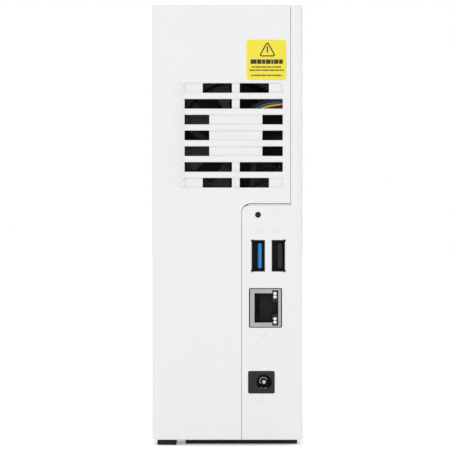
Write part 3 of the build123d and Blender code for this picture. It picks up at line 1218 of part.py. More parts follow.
with BuildPart() as drive_arm:
    for x0, x1 in finger_x:
        with BuildSketch(facing_side(x0)) as finger:
            with BuildLine():
                Polyline(arm_point(0, -6), arm_point(ARM_LENGTH, -1.6), arm_point(ARM_LENGTH, 1.6),
                         arm_point(0, 6), close=True)
            make_face()
        extrude(finger.sketch, amount=x1 - x0)
    coil_x = (floor_x + 5.2, floor_x + 7.7)
    with BuildSketch(facing_side(coil_x[0])) as coil:
        with BuildLine():
            Polyline(arm_point(0, -4), arm_point(-17, -9), arm_point(-19, 0), arm_point(-17, 9),
                     arm_point(0, 4), close=True)
        make_face()
    extrude(coil.sketch, amount=coil_x[1] - coil_x[0])
    rod((floor_x + 0.4, pivot[0], pivot[1]), (1, 0, 0), 6.0, finger_x[2][1] - floor_x - 0.4)
    rod((floor_x, pivot[0], pivot[1]), (1, 0, 0), PIVOT_RADIUS + RUNNING_GAP, 16, Mode.SUBTRACT)

# ---------------------------------------------------------------- backplane
BACKPLANE = 1.6
socket_y = (backplane_y[0] + 6, backplane_y[1] - 8)
socket_x = (board_back, board_back + 5.4)
edge_x = board_back + 1.6
with BuildPart() as backplane_board:
    block((edge_x, drive_x0 + 20.0), backplane_y, (backplane_z, backplane_z + BACKPLANE))
    # The card edge is narrower, so that it enters the socket.
    for y0, y1 in ((backplane_y[0] - 1, socket_y[0] + 1.2), (socket_y[1] - 1.2, backplane_y[1] + 1)):
        block((edge_x - 1, socket_x[1] + 0.6), (y0, y1), (backplane_z - 1, backplane_z + BACKPLANE + 1),
              Mode.SUBTRACT)

with BuildPart() as backplane_socket:
    block(socket_x, socket_y, (backplane_z - 1.2, backplane_z + BACKPLANE + 2.0))
    block((edge_x - 0.1, socket_x[1] + 1), (socket_y[0] + 1, socket_y[1] - 1),
          (backplane_z - 0.02, backplane_z + BACKPLANE + 0.05), Mode.SUBTRACT)

with BuildPart() as sata_receptacle:
    block(across(sata_x, SATA_BODY[0] + 0.6), across(sata_y, SATA_BODY[1] + 2),
          (backplane_z + BACKPLANE, drive_z0))
    for y, length in blades:
        block(across(sata_x, SATA_BLADE), across(y, length), (drive_z0 - 0.5, drive_z0 + 4.0))

# ---------------------------------------------------------------- rating sticker
RATING_SIZE = (20.0, 44.0)
with BuildPart() as rating_label:
    centre = ((board_face + flange_x) / 2 + 1.5, 0)
    rounded_plate(Plane.XY.offset(bottom_z), centre, RATING_SIZE, 1.0, -STICKER)

# ---------------------------------------------------------------- pieces
PIECES = {
    "chassis_shell": chassis_shell.part,
    "side_cover": side_cover.part,
    "front_bezel": front_bezel.part,
    "chassis_feet": chassis_feet.part,
    "cover_feet": cover_feet.part,
    "caution_label": caution_label.part,
    "rating_label": rating_label.part,
    "power_button": power_button.part,
    "copy_button": copy_button.part,
    "light_pipe": light_pipe.part,
    "status_leds": status_leds.part,
    "main_board": main_board.part,
    "board_chips": board_chips.part,
    "heat_sink": heat_sink.part,
    "power_coils": power_coils.part,
    "capacitors": capacitors.part,
    "board_screws": board_screws.part,
    "usb_stack_shell": usb_stack_shell,
    "usb_stack_core": usb_stack_core,
    "usb3_tongues": usb3_tongues.part,
    "usb_contacts": usb_contacts.part,
    "front_usb_shell": front_usb_shell,
    "front_usb_core": front_usb_core,
    "lan_shield": lan_shield.part,
    "lan_core": lan_core.part,
    "lan_contacts": lan_contacts.part,
    "lan_lamps": lan_lamps.part,
    "dc_jack_body": dc_jack_body.part,
    "dc_jack_contacts": dc_jack_contacts.part,
    "reset_switch": reset_switch.part,
    "reset_plunger": reset_plunger,
    "front_switches": front_switches.part,
    "power_plunger": power_plunger,
    "copy_plunger": copy_plunger,
    "fan_frame": fan_frame.part,
    "fan_bearing": fan_bearing.part,
    "fan_rotor": fan_rotor.part,
    "fan_shaft": fan_shaft.part,
    "fan_stator": fan_stator.part,
    "fan_bracket": fan_bracket.part,
    "fan_screws": fan_screws.part,
    "fan_header": fan_header.part,
    "fan_plug": fan_plug.part,
    "drive_bracket": drive_bracket.part,
    "bracket_screws": bracket_screws.part,
    "drive_screws": drive_screws.part,
    "drive_base": drive_base.part,
    "drive_lid": drive_lid.part,
    "drive_lid_screws": drive_lid_screws.part,
    "drive_board": drive_board.part,
    "drive_connector": drive_connector.part,
    "drive_platters": drive_platters.part,
    "drive_arm": drive_arm.part,
    "backplane_board": backplane_board.part,
    "backplane_socket": backplane_socket.part,
    "sata_receptacle": sata_receptacle.part,
}
for order, colour in enumerate(LEADS):
    PIECES[f"fan_lead_{colour}"] = lead(order)
for name, piece in PIECES.items():
    export(piece, name)
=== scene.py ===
"""Looks of a one-bay network attached storage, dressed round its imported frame.

Metres, +Z up, +Y towards the connectors, -Y towards the buttons. The frame holds every
working part. This script gives each of them a finish, adds the thin pieces that the frame
leaves out (printed marks, sticker films, lenses, a contact spring) and sets up a plain
studio with the camera behind the case.
"""

import functools
import json
import logging
import math
from dataclasses import dataclass
from enum import Enum
from typing import Protocol, Sequence

import bmesh
import bpy
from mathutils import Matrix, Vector


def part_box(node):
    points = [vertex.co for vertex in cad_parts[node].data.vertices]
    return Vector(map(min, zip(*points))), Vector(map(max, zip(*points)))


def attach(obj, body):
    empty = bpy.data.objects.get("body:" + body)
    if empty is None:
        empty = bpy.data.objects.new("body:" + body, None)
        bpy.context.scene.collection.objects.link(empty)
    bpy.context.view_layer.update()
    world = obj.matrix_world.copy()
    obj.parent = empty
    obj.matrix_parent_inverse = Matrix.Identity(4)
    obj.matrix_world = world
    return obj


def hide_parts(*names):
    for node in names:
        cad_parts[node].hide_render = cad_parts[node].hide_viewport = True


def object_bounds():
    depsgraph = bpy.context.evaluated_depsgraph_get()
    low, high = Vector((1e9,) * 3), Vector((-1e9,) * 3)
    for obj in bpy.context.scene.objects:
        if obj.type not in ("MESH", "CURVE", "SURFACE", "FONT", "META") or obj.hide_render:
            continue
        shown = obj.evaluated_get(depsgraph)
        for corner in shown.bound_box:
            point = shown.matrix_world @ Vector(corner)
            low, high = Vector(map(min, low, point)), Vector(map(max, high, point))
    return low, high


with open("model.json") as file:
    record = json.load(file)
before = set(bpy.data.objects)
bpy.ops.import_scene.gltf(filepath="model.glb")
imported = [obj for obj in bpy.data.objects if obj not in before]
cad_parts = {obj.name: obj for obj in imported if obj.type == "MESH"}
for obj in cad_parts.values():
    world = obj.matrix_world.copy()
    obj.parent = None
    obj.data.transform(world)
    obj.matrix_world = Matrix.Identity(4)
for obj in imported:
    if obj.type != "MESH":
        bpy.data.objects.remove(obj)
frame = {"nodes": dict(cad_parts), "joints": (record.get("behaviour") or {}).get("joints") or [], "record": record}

MM = 0.001
CAD_BOX = [list(map(float, corner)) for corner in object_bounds()]
LOG = logging.getLogger("storage_looks")

Colour = tuple[float, float, float]
Point = tuple[float, float]


# ---------------------------------------------------------------- shader arithmetic
class Signal:
    """One output of a shader node, which can be added, scaled and compared."""

    def __init__(self, recipe: "Recipe", socket: bpy.types.NodeSocket) -> None:
        """Wraps a socket.

        Args:
            recipe: The material recipe that the socket belongs to.
            socket: The output socket.
        """
        self.recipe = recipe
        self.socket = socket

    def _math(self, operation: str, first: "Operand", second: "Operand") -> "Signal":
        """Adds one Math node.

        Args:
            operation: The Math node's operation.
            first: Its first value.
            second: Its second value.

        Returns:
            The node's result.
        """
        return self.recipe.node("ShaderNodeMath", {"operation": operation}, {0: first, 1: second})

    def __add__(self, other: "Operand") -> "Signal":
        """This plus the other."""
        return self._math("ADD", self, other)

    def __radd__(self, other: float) -> "Signal":
        """The other plus this."""
        return self._math("ADD", other, self)

    def __sub__(self, other: "Operand") -> "Signal":
        """This less the other."""
        return self._math("SUBTRACT", self, other)

    def __rsub__(self, other: float) -> "Signal":
        """The other less this."""
        return self._math("SUBTRACT", other, self)

    def __mul__(self, other: "Operand") -> "Signal":
        """This times the other."""
        return self._math("MULTIPLY", self, other)

    def __rmul__(self, other: float) -> "Signal":
        """The other times this."""
        return self._math("MULTIPLY", other, self)

    def __gt__(self, other: "Operand") -> "Signal":
        """A mask that is 1 where this is the greater."""
        return self._math("GREATER_THAN", self, other)

    def __lt__(self, other: "Operand") -> "Signal":
        """A mask that is 1 where this is the smaller."""
        return self._math("LESS_THAN", self, other)

    def wave(self) -> "Signal":
        """The sine of this."""
        return self._math("SINE", self, 0.0)


Operand = Signal | float | Sequence[float]


class Grain(Enum):
    """The world axis along which a brushed or drawn surface runs."""

    X = (0.04, 1.0, 1.0)
    Y = (1.0, 0.04, 1.0)
    Z = (1.0, 1.0, 0.04)


class Recipe:
    """The node tree of one material, and the ways to add to it."""

    def __init__(self, name: str) -> None:
        """Starts an empty material.

        Args:
            name: The material's name.
        """
        self.material = bpy.data.materials.new(name)
        self.material.use_nodes = True
        self.tree = self.material.node_tree
        self.tree.nodes.clear()

    def node(
        self,
        kind: str,
        settings: dict[str, object] | None = None,
        values: dict[int | str, Operand] | None = None,
        output: int | str = 0,
    ) -> Signal:
        """Adds a node.

        Args:
            kind: The node's type.
            settings: Its own settings, set before anything else.
            values: A value or a signal for each input that is used.
            output: Which output to hand back.

        Returns:
            The chosen output.
        """
        added = self.tree.nodes.new(kind)
        for name, setting in (settings or {}).items():
            setattr(added, name, setting)
        for key, value in (values or {}).items():
            into = added.inputs[key]
            if isinstance(value, Signal):
                self.tree.links.new(value.socket, into)
            elif into.type == "RGBA":
                into.default_value = (*value, 1.0)
            else:
                into.default_value = value
        return Signal(self, added.outputs[output])

    def place(self) -> Signal:
        """The point on the object, in metres."""
        return self.node("ShaderNodeTexCoord", output="Object")

    def scaled(self, factors: Sequence[float]) -> Signal:
        """The point on the object, with each axis scaled."""
        return self.node("ShaderNodeVectorMath", {"operation": "MULTIPLY"}, {0: self.place(), 1: factors})

    def noise(self, size: float, detail: float = 2.0, stretch: Grain | None = None) -> Signal:
        """Soft noise.

        Args:
            size: The size of its blotches, in metres.
            detail: How many finer layers it has.
            stretch: The axis that it is drawn out along, if any.

        Returns:
            A value about 0.5.
        """
        vector = self.place() if stretch is None else self.scaled(stretch.value)
        return self.node(
            "ShaderNodeTexNoise", values={"Vector": vector, "Scale": 1 / size, "Detail": detail}
        )

    def cells(self, size: float) -> Signal:
        """A field of cells: the distance to each cell's middle."""
        return self.node(
            "ShaderNodeTexVoronoi", values={"Vector": self.place(), "Scale": 1 / size}, output="Distance"
        )

    def blend(self, mask: Operand, low: Operand, high: Operand) -> Signal:
        """A colour that goes from low to high as the mask goes from 0 to 1."""
        return self.node("ShaderNodeMix", {"data_type": "RGBA"}, {0: mask, 6: low, 7: high}, output=2)

    def tinted(self, colour: Colour, spread: float, mask: Signal) -> Signal:
        """A colour that darkens and lightens by a share of itself."""
        dark = [channel * (1 - spread) for channel in colour]
        light = [min(1.0, channel * (1 + spread)) for channel in colour]
        return self.blend(mask, dark, light)

    def bump(self, height: Signal, depth: float, strength: float = 1.0) -> Signal:
        """The normal of a surface raised by a height field, depth in metres."""
        return self.node(
            "ShaderNodeBump", values={"Strength": strength, "Distance": depth, "Height": height},
        )

    def finish(self, values: dict[str, Operand]) -> bpy.types.Material:
        """Ends the tree in a Principled shader.

        Args:
            values: A value or a signal for each of the shader's inputs that is used.

        Returns:
            The finished material.
        """
        shader = self.node("ShaderNodeBsdfPrincipled", values=values)
        end = self.tree.nodes.new("ShaderNodeOutputMaterial")
        self.tree.links.new(shader.socket, end.inputs["Surface"])
        return self.material


# ---------------------------------------------------------------- finishes
class Finish(Protocol):
    """Anything that can make a material."""

    name: str

    def material(self) -> bpy.types.Material:
        """Makes the material."""


@dataclass(frozen=True)
class MouldedPlastic:
    """Moulded plastic with a fine eroded texture and a faint unevenness in its gloss."""

    name: str
    colour: Colour
    roughness: float = 0.5
    grain: float = 0.32 * MM
    depth: float = 0.010 * MM
    mottle: float = 0.018
    specular: float = 0.4
    coat: float = 0.0

    def material(self) -> bpy.types.Material:
        """Makes the material."""
        recipe = Recipe(self.name)
        grain = recipe.noise(self.grain, 3.0)
        flow = recipe.noise(16 * MM, 4.0)
        smudge = recipe.noise(7 * MM, 5.0)
        speck = recipe.cells(2.4 * MM) < 0.035
        shade = recipe.tinted(self.colour, self.mottle, 0.7 * flow + 0.3 * grain)
        return recipe.finish({
            "Base Color": recipe.blend(speck * 0.35, shade, [c * 0.72 for c in self.colour]),
            "Roughness": self.roughness - 0.07 + 0.14 * smudge,
            "Specular IOR Level": self.specular,
            "Coat Weight": self.coat,
            "Coat Roughness": 0.12,
            "Normal": recipe.bump(grain, self.depth),
        })


@dataclass(frozen=True)
class FootRubber:
    """Matt black rubber with a fine tooth and a little dust."""

    name: str = "foot_rubber_black"

    def material(self) -> bpy.types.Material:
        """Makes the material."""
        recipe = Recipe(self.name)
        tooth = recipe.noise(0.25 * MM, 4.0)
        dust = recipe.noise(3.5 * MM, 6.0)
        return recipe.finish({
            "Base Color": recipe.blend(dust, (0.011, 0.011, 0.012), (0.024, 0.024, 0.025)),
            "Roughness": 0.72 + 0.2 * tooth,
            "Specular IOR Level": 0.25,
            "Normal": recipe.bump(tooth, 0.03 * MM),
        })


@dataclass(frozen=True)
class PrintedFilm:
    """Sticker film with a faint fibre in it, or the ink that is printed on it."""

    name: str
    colour: Colour
    roughness: float = 0.4
    spread: float = 0.03

    def material(self) -> bpy.types.Material:
        """Makes the material."""
        recipe = Recipe(self.name)
        fibre = recipe.noise(0.45 * MM, 5.0, Grain.X)
        screen = recipe.noise(0.15 * MM, 1.0)
        return recipe.finish({
            "Base Color": recipe.tinted(self.colour, self.spread, 0.6 * fibre + 0.4 * screen),
            "Roughness": self.roughness - 0.05 + 0.1 * fibre,
            "Specular IOR Level": 0.4,
            "Normal": recipe.bump(fibre, 0.004 * MM),
        })


@dataclass(frozen=True)
class DrawnMetal:
    """Sheet or bar with fine lines along one axis, dulled in patches."""

    name: str
    colour: Colour
    grain: Grain = Grain.Z
    roughness: float = 0.34
    lines: float = 0.18 * MM
    spread: float = 0.10
    tarnish: float = 0.15

    def material(self) -> bpy.types.Material:
        """Makes the material."""
        recipe = Recipe(self.name)
        brushing = recipe.noise(self.lines, 3.0, self.grain)
        patch = recipe.noise(5 * MM, 5.0)
        dulled = [channel * (1 - self.tarnish) for channel in self.colour]
        return recipe.finish({
            "Base Color": recipe.blend(patch, dulled, recipe.tinted(self.colour, self.spread, brushing)),
            "Metallic": 1.0,
            "Roughness": self.roughness - 0.08 + 0.12 * brushing + 0.08 * patch,
            "Normal": recipe.bump(brushing, 0.006 * MM),
        })


@dataclass(frozen=True)
class CastMetal:
    """Die-cast aluminium with a pebbled skin and darker pits."""

    name: str
    colour: Colour = (0.47, 0.48, 0.50)
    pebble: float = 0.7 * MM

    def material(self) -> bpy.types.Material:
        """Makes the material."""
        recipe = Recipe(self.name)
        skin = recipe.noise(self.pebble, 6.0)
        pits = recipe.cells(1.7 * MM) < 0.10
        flow = recipe.noise(12 * MM, 3.0)
        pale = recipe.tinted(self.colour, 0.12, flow)
        return recipe.finish({
            "Base Color": recipe.blend(pits * 0.5, pale, [c * 0.5 for c in self.colour]),
            "Metallic": 0.9,
            "Roughness": 0.42 + 0.22 * skin,
            "Normal": recipe.bump(skin - 0.4 * pits, 0.05 * MM),
        })


@dataclass(frozen=True)
class SolderMask:
    """Circuit board: copper tracks under green mask, with tinned via rings."""

    name: str = "board_solder_mask"
    mask: Colour = (0.012, 0.105, 0.055)
    track: Colour = (0.03, 0.19, 0.09)
    tin: Colour = (0.62, 0.60, 0.52)
    pitch: float = 5.0 * MM

    def material(self) -> bpy.types.Material:
        """Makes the material."""
        recipe = Recipe(self.name)
        axes = [recipe.node("ShaderNodeSeparateXYZ", values={0: recipe.place()}, output=k) for k in (1, 2)]
        flat = recipe.node("ShaderNodeCombineXYZ", values={0: axes[0], 1: axes[1]})
        tracks = recipe.node(
            "ShaderNodeTexBrick",
            {"offset": 0.37, "squash": 0.6, "squash_frequency": 3},
            {"Vector": flat, "Scale": 1 / self.pitch, "Mortar Size": 0.035, "Brick Width": 1.7,
             "Row Height": 0.16},
            output="Fac",
        )
        poured = recipe.noise(11 * MM, 2.0) > 0.52
        copper = 1 - (1 - tracks) * (1 - poured * 0.6)
        middle = recipe.cells(3.1 * MM)
        via = (middle < 0.16) * (middle > 0.07)
        weave = recipe.noise(0.8 * MM, 2.0)
        painted = recipe.blend(copper, self.mask, self.track)
        return recipe.finish({
            "Base Color": recipe.blend(via, painted, self.tin),
            "Metallic": via * 0.9,
            "Roughness": 0.26 + 0.10 * weave,
            "Coat Weight": 0.5 - 0.5 * via,
            "Coat Roughness": 0.1,
            "Normal": recipe.bump(copper + 0.2 * weave, 0.02 * MM),
        })


@dataclass(frozen=True)
class LensPlastic:
    """Milky light-spreading plastic."""

    name: str
    colour: Colour
    clear: float = 0.3
    roughness: float = 0.22

    def material(self) -> bpy.types.Material:
        """Makes the material."""
        recipe = Recipe(self.name)
        cloud = recipe.noise(0.9 * MM, 3.0)
        return recipe.finish({
            "Base Color": recipe.tinted(self.colour, 0.05, cloud),
            "Roughness": self.roughness + 0.1 * cloud,
            "Transmission Weight": self.clear,
            "IOR": 1.49,
            "Normal": recipe.bump(cloud, 0.01 * MM),
        })


@dataclass(frozen=True)
class MirrorDisc:
    """A polished disc with faint rings about its spindle."""

    name: str
    centre: tuple[float, float, float]
    colour: Colour = (0.78, 0.77, 0.76)
    ring: float = 0.35 * MM

    def material(self) -> bpy.types.Material:
        """Makes the material."""
        recipe = Recipe(self.name)
        offset = recipe.node(
            "ShaderNodeVectorMath", {"operation": "SUBTRACT"}, {0: recipe.place(), 1: self.centre}
        )
        flat = recipe.node("ShaderNodeVectorMath", {"operation": "MULTIPLY"}, {0: offset, 1: (0, 1, 1)})
        radius = recipe.node("ShaderNodeVectorMath", {"operation": "LENGTH"}, {0: flat}, output="Value")
        rings = (radius * (math.tau / self.ring)).wave()
        return recipe.finish({
            "Base Color": recipe.tinted(self.colour, 0.03, 0.5 + 0.5 * rings),
            "Metallic": 1.0,
            "Roughness": 0.07 + 0.02 * rings,
            "Normal": recipe.bump(rings, 0.0004 * MM),
        })


@dataclass(frozen=True)
class WoundCopper:
    """Enamelled copper wire laid in close turns on steel laminations, with painted shade between the turns and a
    painted highlight on each turn's crown.
    """

    name: str = "stator_windings"
    wire: float = 0.35 * MM

    def material(self) -> bpy.types.Material:
        """Makes the material."""
        recipe = Recipe(self.name)
        depth = recipe.node("ShaderNodeSeparateXYZ", values={0: recipe.place()}, output=1)
        turns = (depth * (math.tau / self.wire)).wave()
        patch = recipe.noise(1.5 * MM, 3.0)
        return recipe.finish({
            # Painted shade and highlight: the colour runs dark between turns and bright on each crown, in step
            # with the bump.
            "Base Color": recipe.blend(0.5 + 0.5 * turns, (0.25, 0.09, 0.04), (0.72, 0.32, 0.14)),
            "Metallic": 0.85,
            "Roughness": 0.3 + 0.15 * patch,
            "Normal": recipe.bump(turns, 0.05 * MM),
        })


@functools.cache
def material_of(finish: Finish) -> bpy.types.Material:
    """The one material that a finish makes."""
    return finish.material()


CASE_WHITE = MouldedPlastic("case_white", (0.665, 0.668, 0.672))
FRONT_WHITE = MouldedPlastic("front_white", (0.76, 0.763, 0.768), roughness=0.34, depth=0.005 * MM, coat=0.15)
BUTTON_GREY = MouldedPlastic("button_grey", (0.46, 0.47, 0.49), roughness=0.36, depth=0.006 * MM)
SOCKET_BLACK = MouldedPlastic(
    "socket_black", (0.0110, 0.0110, 0.0116), roughness=0.46, grain=0.2 * MM, mottle=0.2, specular=0.24
)
TONGUE_BLUE = MouldedPlastic("tongue_blue", (0.010, 0.19, 0.53), roughness=0.38, grain=0.2 * MM)
FAN_BLACK = MouldedPlastic(
    "fan_black", (0.020, 0.020, 0.021), roughness=0.8, depth=0.006 * MM, mottle=0.15, specular=0.0
)
PACKAGE_BLACK = MouldedPlastic("package_black", (0.022, 0.022, 0.024), roughness=0.6, mottle=0.2)
PLUNGER_BLACK = MouldedPlastic("plunger_black", (0.03, 0.03, 0.032), roughness=0.5, mottle=0.15)
PLUG_WHITE = MouldedPlastic("plug_white", (0.70, 0.67, 0.60), roughness=0.42, grain=0.25 * MM)
CLEAR_LENS = LensPlastic("clear_lens", (0.88, 0.91, 0.93), clear=0.45)
CREAM_LENS = LensPlastic("cream_lens", (0.80, 0.75, 0.66), clear=0.12)
LAMP_CHIP = LensPlastic("lamp_chip", (0.85, 0.80, 0.55), clear=0.1)
PORT_TIN = DrawnMetal("port_tin", (0.36, 0.355, 0.34), spread=0.26, roughness=0.40)
# Painted shade: the stacked USB shell is darkened to stand for the shade inside the socket and the dark
# surroundings it reflects.
PORT_SHADE_DARK = DrawnMetal("port_dark_nickel", (0.030, 0.030, 0.028), roughness=0.42, spread=0.25)
# Painted shade: the contacts deep in the sockets are darkened, and their tarnish deepened, to stand for the shade
# inside the sockets.
CONTACT_SHADE_DARK = DrawnMetal("contact_dark", (0.16, 0.10, 0.06), roughness=0.42, lines=0.1 * MM, tarnish=0.3)
PIN_NICKEL = DrawnMetal("pin_nickel", (0.48, 0.47, 0.45), Grain.Y, roughness=0.3, lines=0.1 * MM)
SPRING_STEEL = DrawnMetal("spring_steel", (0.30, 0.30, 0.29), roughness=0.45, lines=0.1 * MM, tarnish=0.2)
SCREW_ZINC = DrawnMetal("screw_zinc", (0.62, 0.62, 0.60), Grain.X, roughness=0.3, lines=0.12 * MM)
SINK_ALUMINIUM = DrawnMetal("sink_aluminium", (0.42, 0.43, 0.45), Grain.Z, roughness=0.42, lines=0.25 * MM)
CAN_ALUMINIUM = DrawnMetal("can_aluminium", (0.74, 0.75, 0.76), Grain.X, roughness=0.26, lines=0.1 * MM)
LID_STEEL = DrawnMetal("lid_steel", (0.60, 0.61, 0.62), Grain.Z, roughness=0.3, lines=0.22 * MM)
SHAFT_STEEL = DrawnMetal("shaft_steel", (0.66, 0.66, 0.67), Grain.Y, roughness=0.18, lines=0.08 * MM)
BEARING_BRONZE = DrawnMetal("bearing_bronze", (0.52, 0.34, 0.16), Grain.Y, roughness=0.4, tarnish=0.3)
# Painted shade: the brackets and the drive casting are darkened to stand for the shade inside the case seen
# through the grille; their real finish is not known.
BRACKET_SHADE_DARK = MouldedPlastic("bracket_black_paint", (0.016, 0.016, 0.017), roughness=0.6, specular=0.2)
DRIVE_CASTING = CastMetal("drive_casting", (0.16, 0.163, 0.17))
ARM_METAL = CastMetal("arm_metal", (0.60, 0.61, 0.63), pebble=0.4 * MM)
BOARD_GREEN = SolderMask()
CAUTION_FILM = PrintedFilm("caution_film", (0.700, 0.600, 0.026))
CAUTION_INK = PrintedFilm("caution_ink", (0.020, 0.012, 0.001), spread=0.12)
PALE_INK = PrintedFilm("caution_fine_ink", (0.13, 0.10, 0.010), spread=0.12)
PANEL_INK = PrintedFilm("panel_grey_ink", (0.600, 0.606, 0.610))
CONTROL_INK = PrintedFilm("control_grey_ink", (0.16, 0.165, 0.17), spread=0.08)
PAPER_GREY = PrintedFilm("rating_film", (0.60, 0.60, 0.59))
PAPER_WHITE = PrintedFilm("disk_label_paper", (0.74, 0.74, 0.72), roughness=0.5)
LABEL_INK = PrintedFilm("label_dark_ink", (0.035, 0.035, 0.04), spread=0.15)
STRIPE_INK = PrintedFilm("label_stripe_ink", (0.05, 0.16, 0.24), spread=0.10)
SLEEVES = {
    "black": MouldedPlastic("sleeve_black", (0.014, 0.014, 0.015), 0.34, mottle=0.1),
    "blue": MouldedPlastic("sleeve_blue", (0.035, 0.12, 0.25), 0.34),
    "yellow": MouldedPlastic("sleeve_yellow", (0.78, 0.50, 0.035), 0.34),
    "red": MouldedPlastic("sleeve_red", (0.060, 0.010, 0.008), 0.34),
}


def dress(finish: Finish, *nodes: str) -> None:
    """Gives carried-over nodes a finish.

    Args:
        finish: The finish they all take.
        nodes: The nodes' names.
    """
    for name in nodes:
        for holder in frame["nodes"][name].material_slots:
            holder.link = "OBJECT"
            holder.material = material_of(finish)
        LOG.info("dressed %s in %s", name, finish.name)


# ---------------------------------------------------------------- flat outlines
def rounded(corners: Sequence[Point], radius: float, steps: int = 6) -> list[Point]:
    """A convex outline with an arc at each corner.

    Args:
        corners: Its corners, in turn.
        radius: The arcs' radius.
        steps: How many sides each arc has.

    Returns:
        The outline's points.
    """
    outline: list[Point] = []
    count = len(corners)
    for k, here in enumerate(corners):
        corner = Vector(here)
        back = (Vector(corners[k - 1]) - corner).normalized()
        ahead = (Vector(corners[(k + 1) % count]) - corner).normalized()
        half = back.angle(ahead) / 2
        middle = corner + (back + ahead).normalized() * radius / math.sin(half)
        first = corner + back * radius / math.tan(half) - middle
        sweep = first.angle_signed(corner + ahead * radius / math.tan(half) - middle)
        start = math.atan2(first.y, first.x)
        for step in range(steps + 1):
            angle = start - sweep * step / steps
            outline.append((middle.x + radius * math.cos(angle), middle.y + radius * math.sin(angle)))
    return outline


def oblong(centre: Point, size: Point, radius: float) -> list[Point]:
    """A rectangle with rounded corners, from its centre and size."""
    (u, v), (half_u, half_v) = centre, (size[0] / 2, size[1] / 2)
    corners = [
        (u - half_u, v - half_v), (u + half_u, v - half_v),
        (u + half_u, v + half_v), (u - half_u, v + half_v),
    ]
    return rounded(corners, radius)


def triangle(centre: Point, width: float, height: float, radius: float) -> list[Point]:
    """A triangle on its base with rounded corners."""
    u, v = centre
    corners = [(u - width / 2, v - height / 2), (u + width / 2, v - height / 2), (u, v + height / 2)]
    return rounded(corners, radius)


def circle(centre: Point, radius: float, steps: int = 48) -> list[Point]:
    """A circle."""
    turns = [math.tau * k / steps for k in range(steps)]
    return [(centre[0] + radius * math.cos(t), centre[1] + radius * math.sin(t)) for t in turns]


def band(centre: Point, radii: Point, degrees: Point, steps: int = 28) -> list[Point]:
    """A curved strip between two radii and two angles."""
    angles = [math.radians(degrees[0] + (degrees[1] - degrees[0]) * k / steps) for k in range(steps + 1)]
    outer = [(centre[0] + radii[1] * math.cos(a), centre[1] + radii[1] * math.sin(a)) for a in angles]
    inner = [(centre[0] + radii[0] * math.cos(a), centre[1] + radii[0] * math.sin(a)) for a in angles]
    return outer + inner[::-1]


@dataclass(frozen=True)
class Site:
    """A flat place on the object, where thin pieces lie."""

    origin: tuple[float, float, float]
    right: tuple[float, float, float]
    up: tuple[float, float, float]

    def point(self, u: float, v: float, out: float) -> Vector:
        """The place at a distance to the right, up and out of the surface."""
        right, up = Vector(self.right), Vector(self.up)
        return Vector(self.origin) + right * u + up * v + right.cross(up) * out


def rear_site(x: float, y: float, z: float) -> Site:
    """A place that faces the connector side."""
    return Site((x, y, z), (-1, 0, 0), (0, 0, 1))


def front_site(x: float, y: float, z: float) -> Site:
    """A place that faces the button side."""
    return Site((x, y, z), (1, 0, 0), (0, 0, 1))


def middle_of(node: str) -> Vector:
    """The middle of a node's box."""
    low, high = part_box(node)
    return (Vector(low) + Vector(high)) / 2


def place_of(entries: Sequence[dict], name: str) -> tuple[float, float, float]:
    """The place of the mount or joint that has a name."""
    for entry in entries:
        if entry["name"] == name:
            return tuple(entry["pos_m"])
    raise KeyError(name)


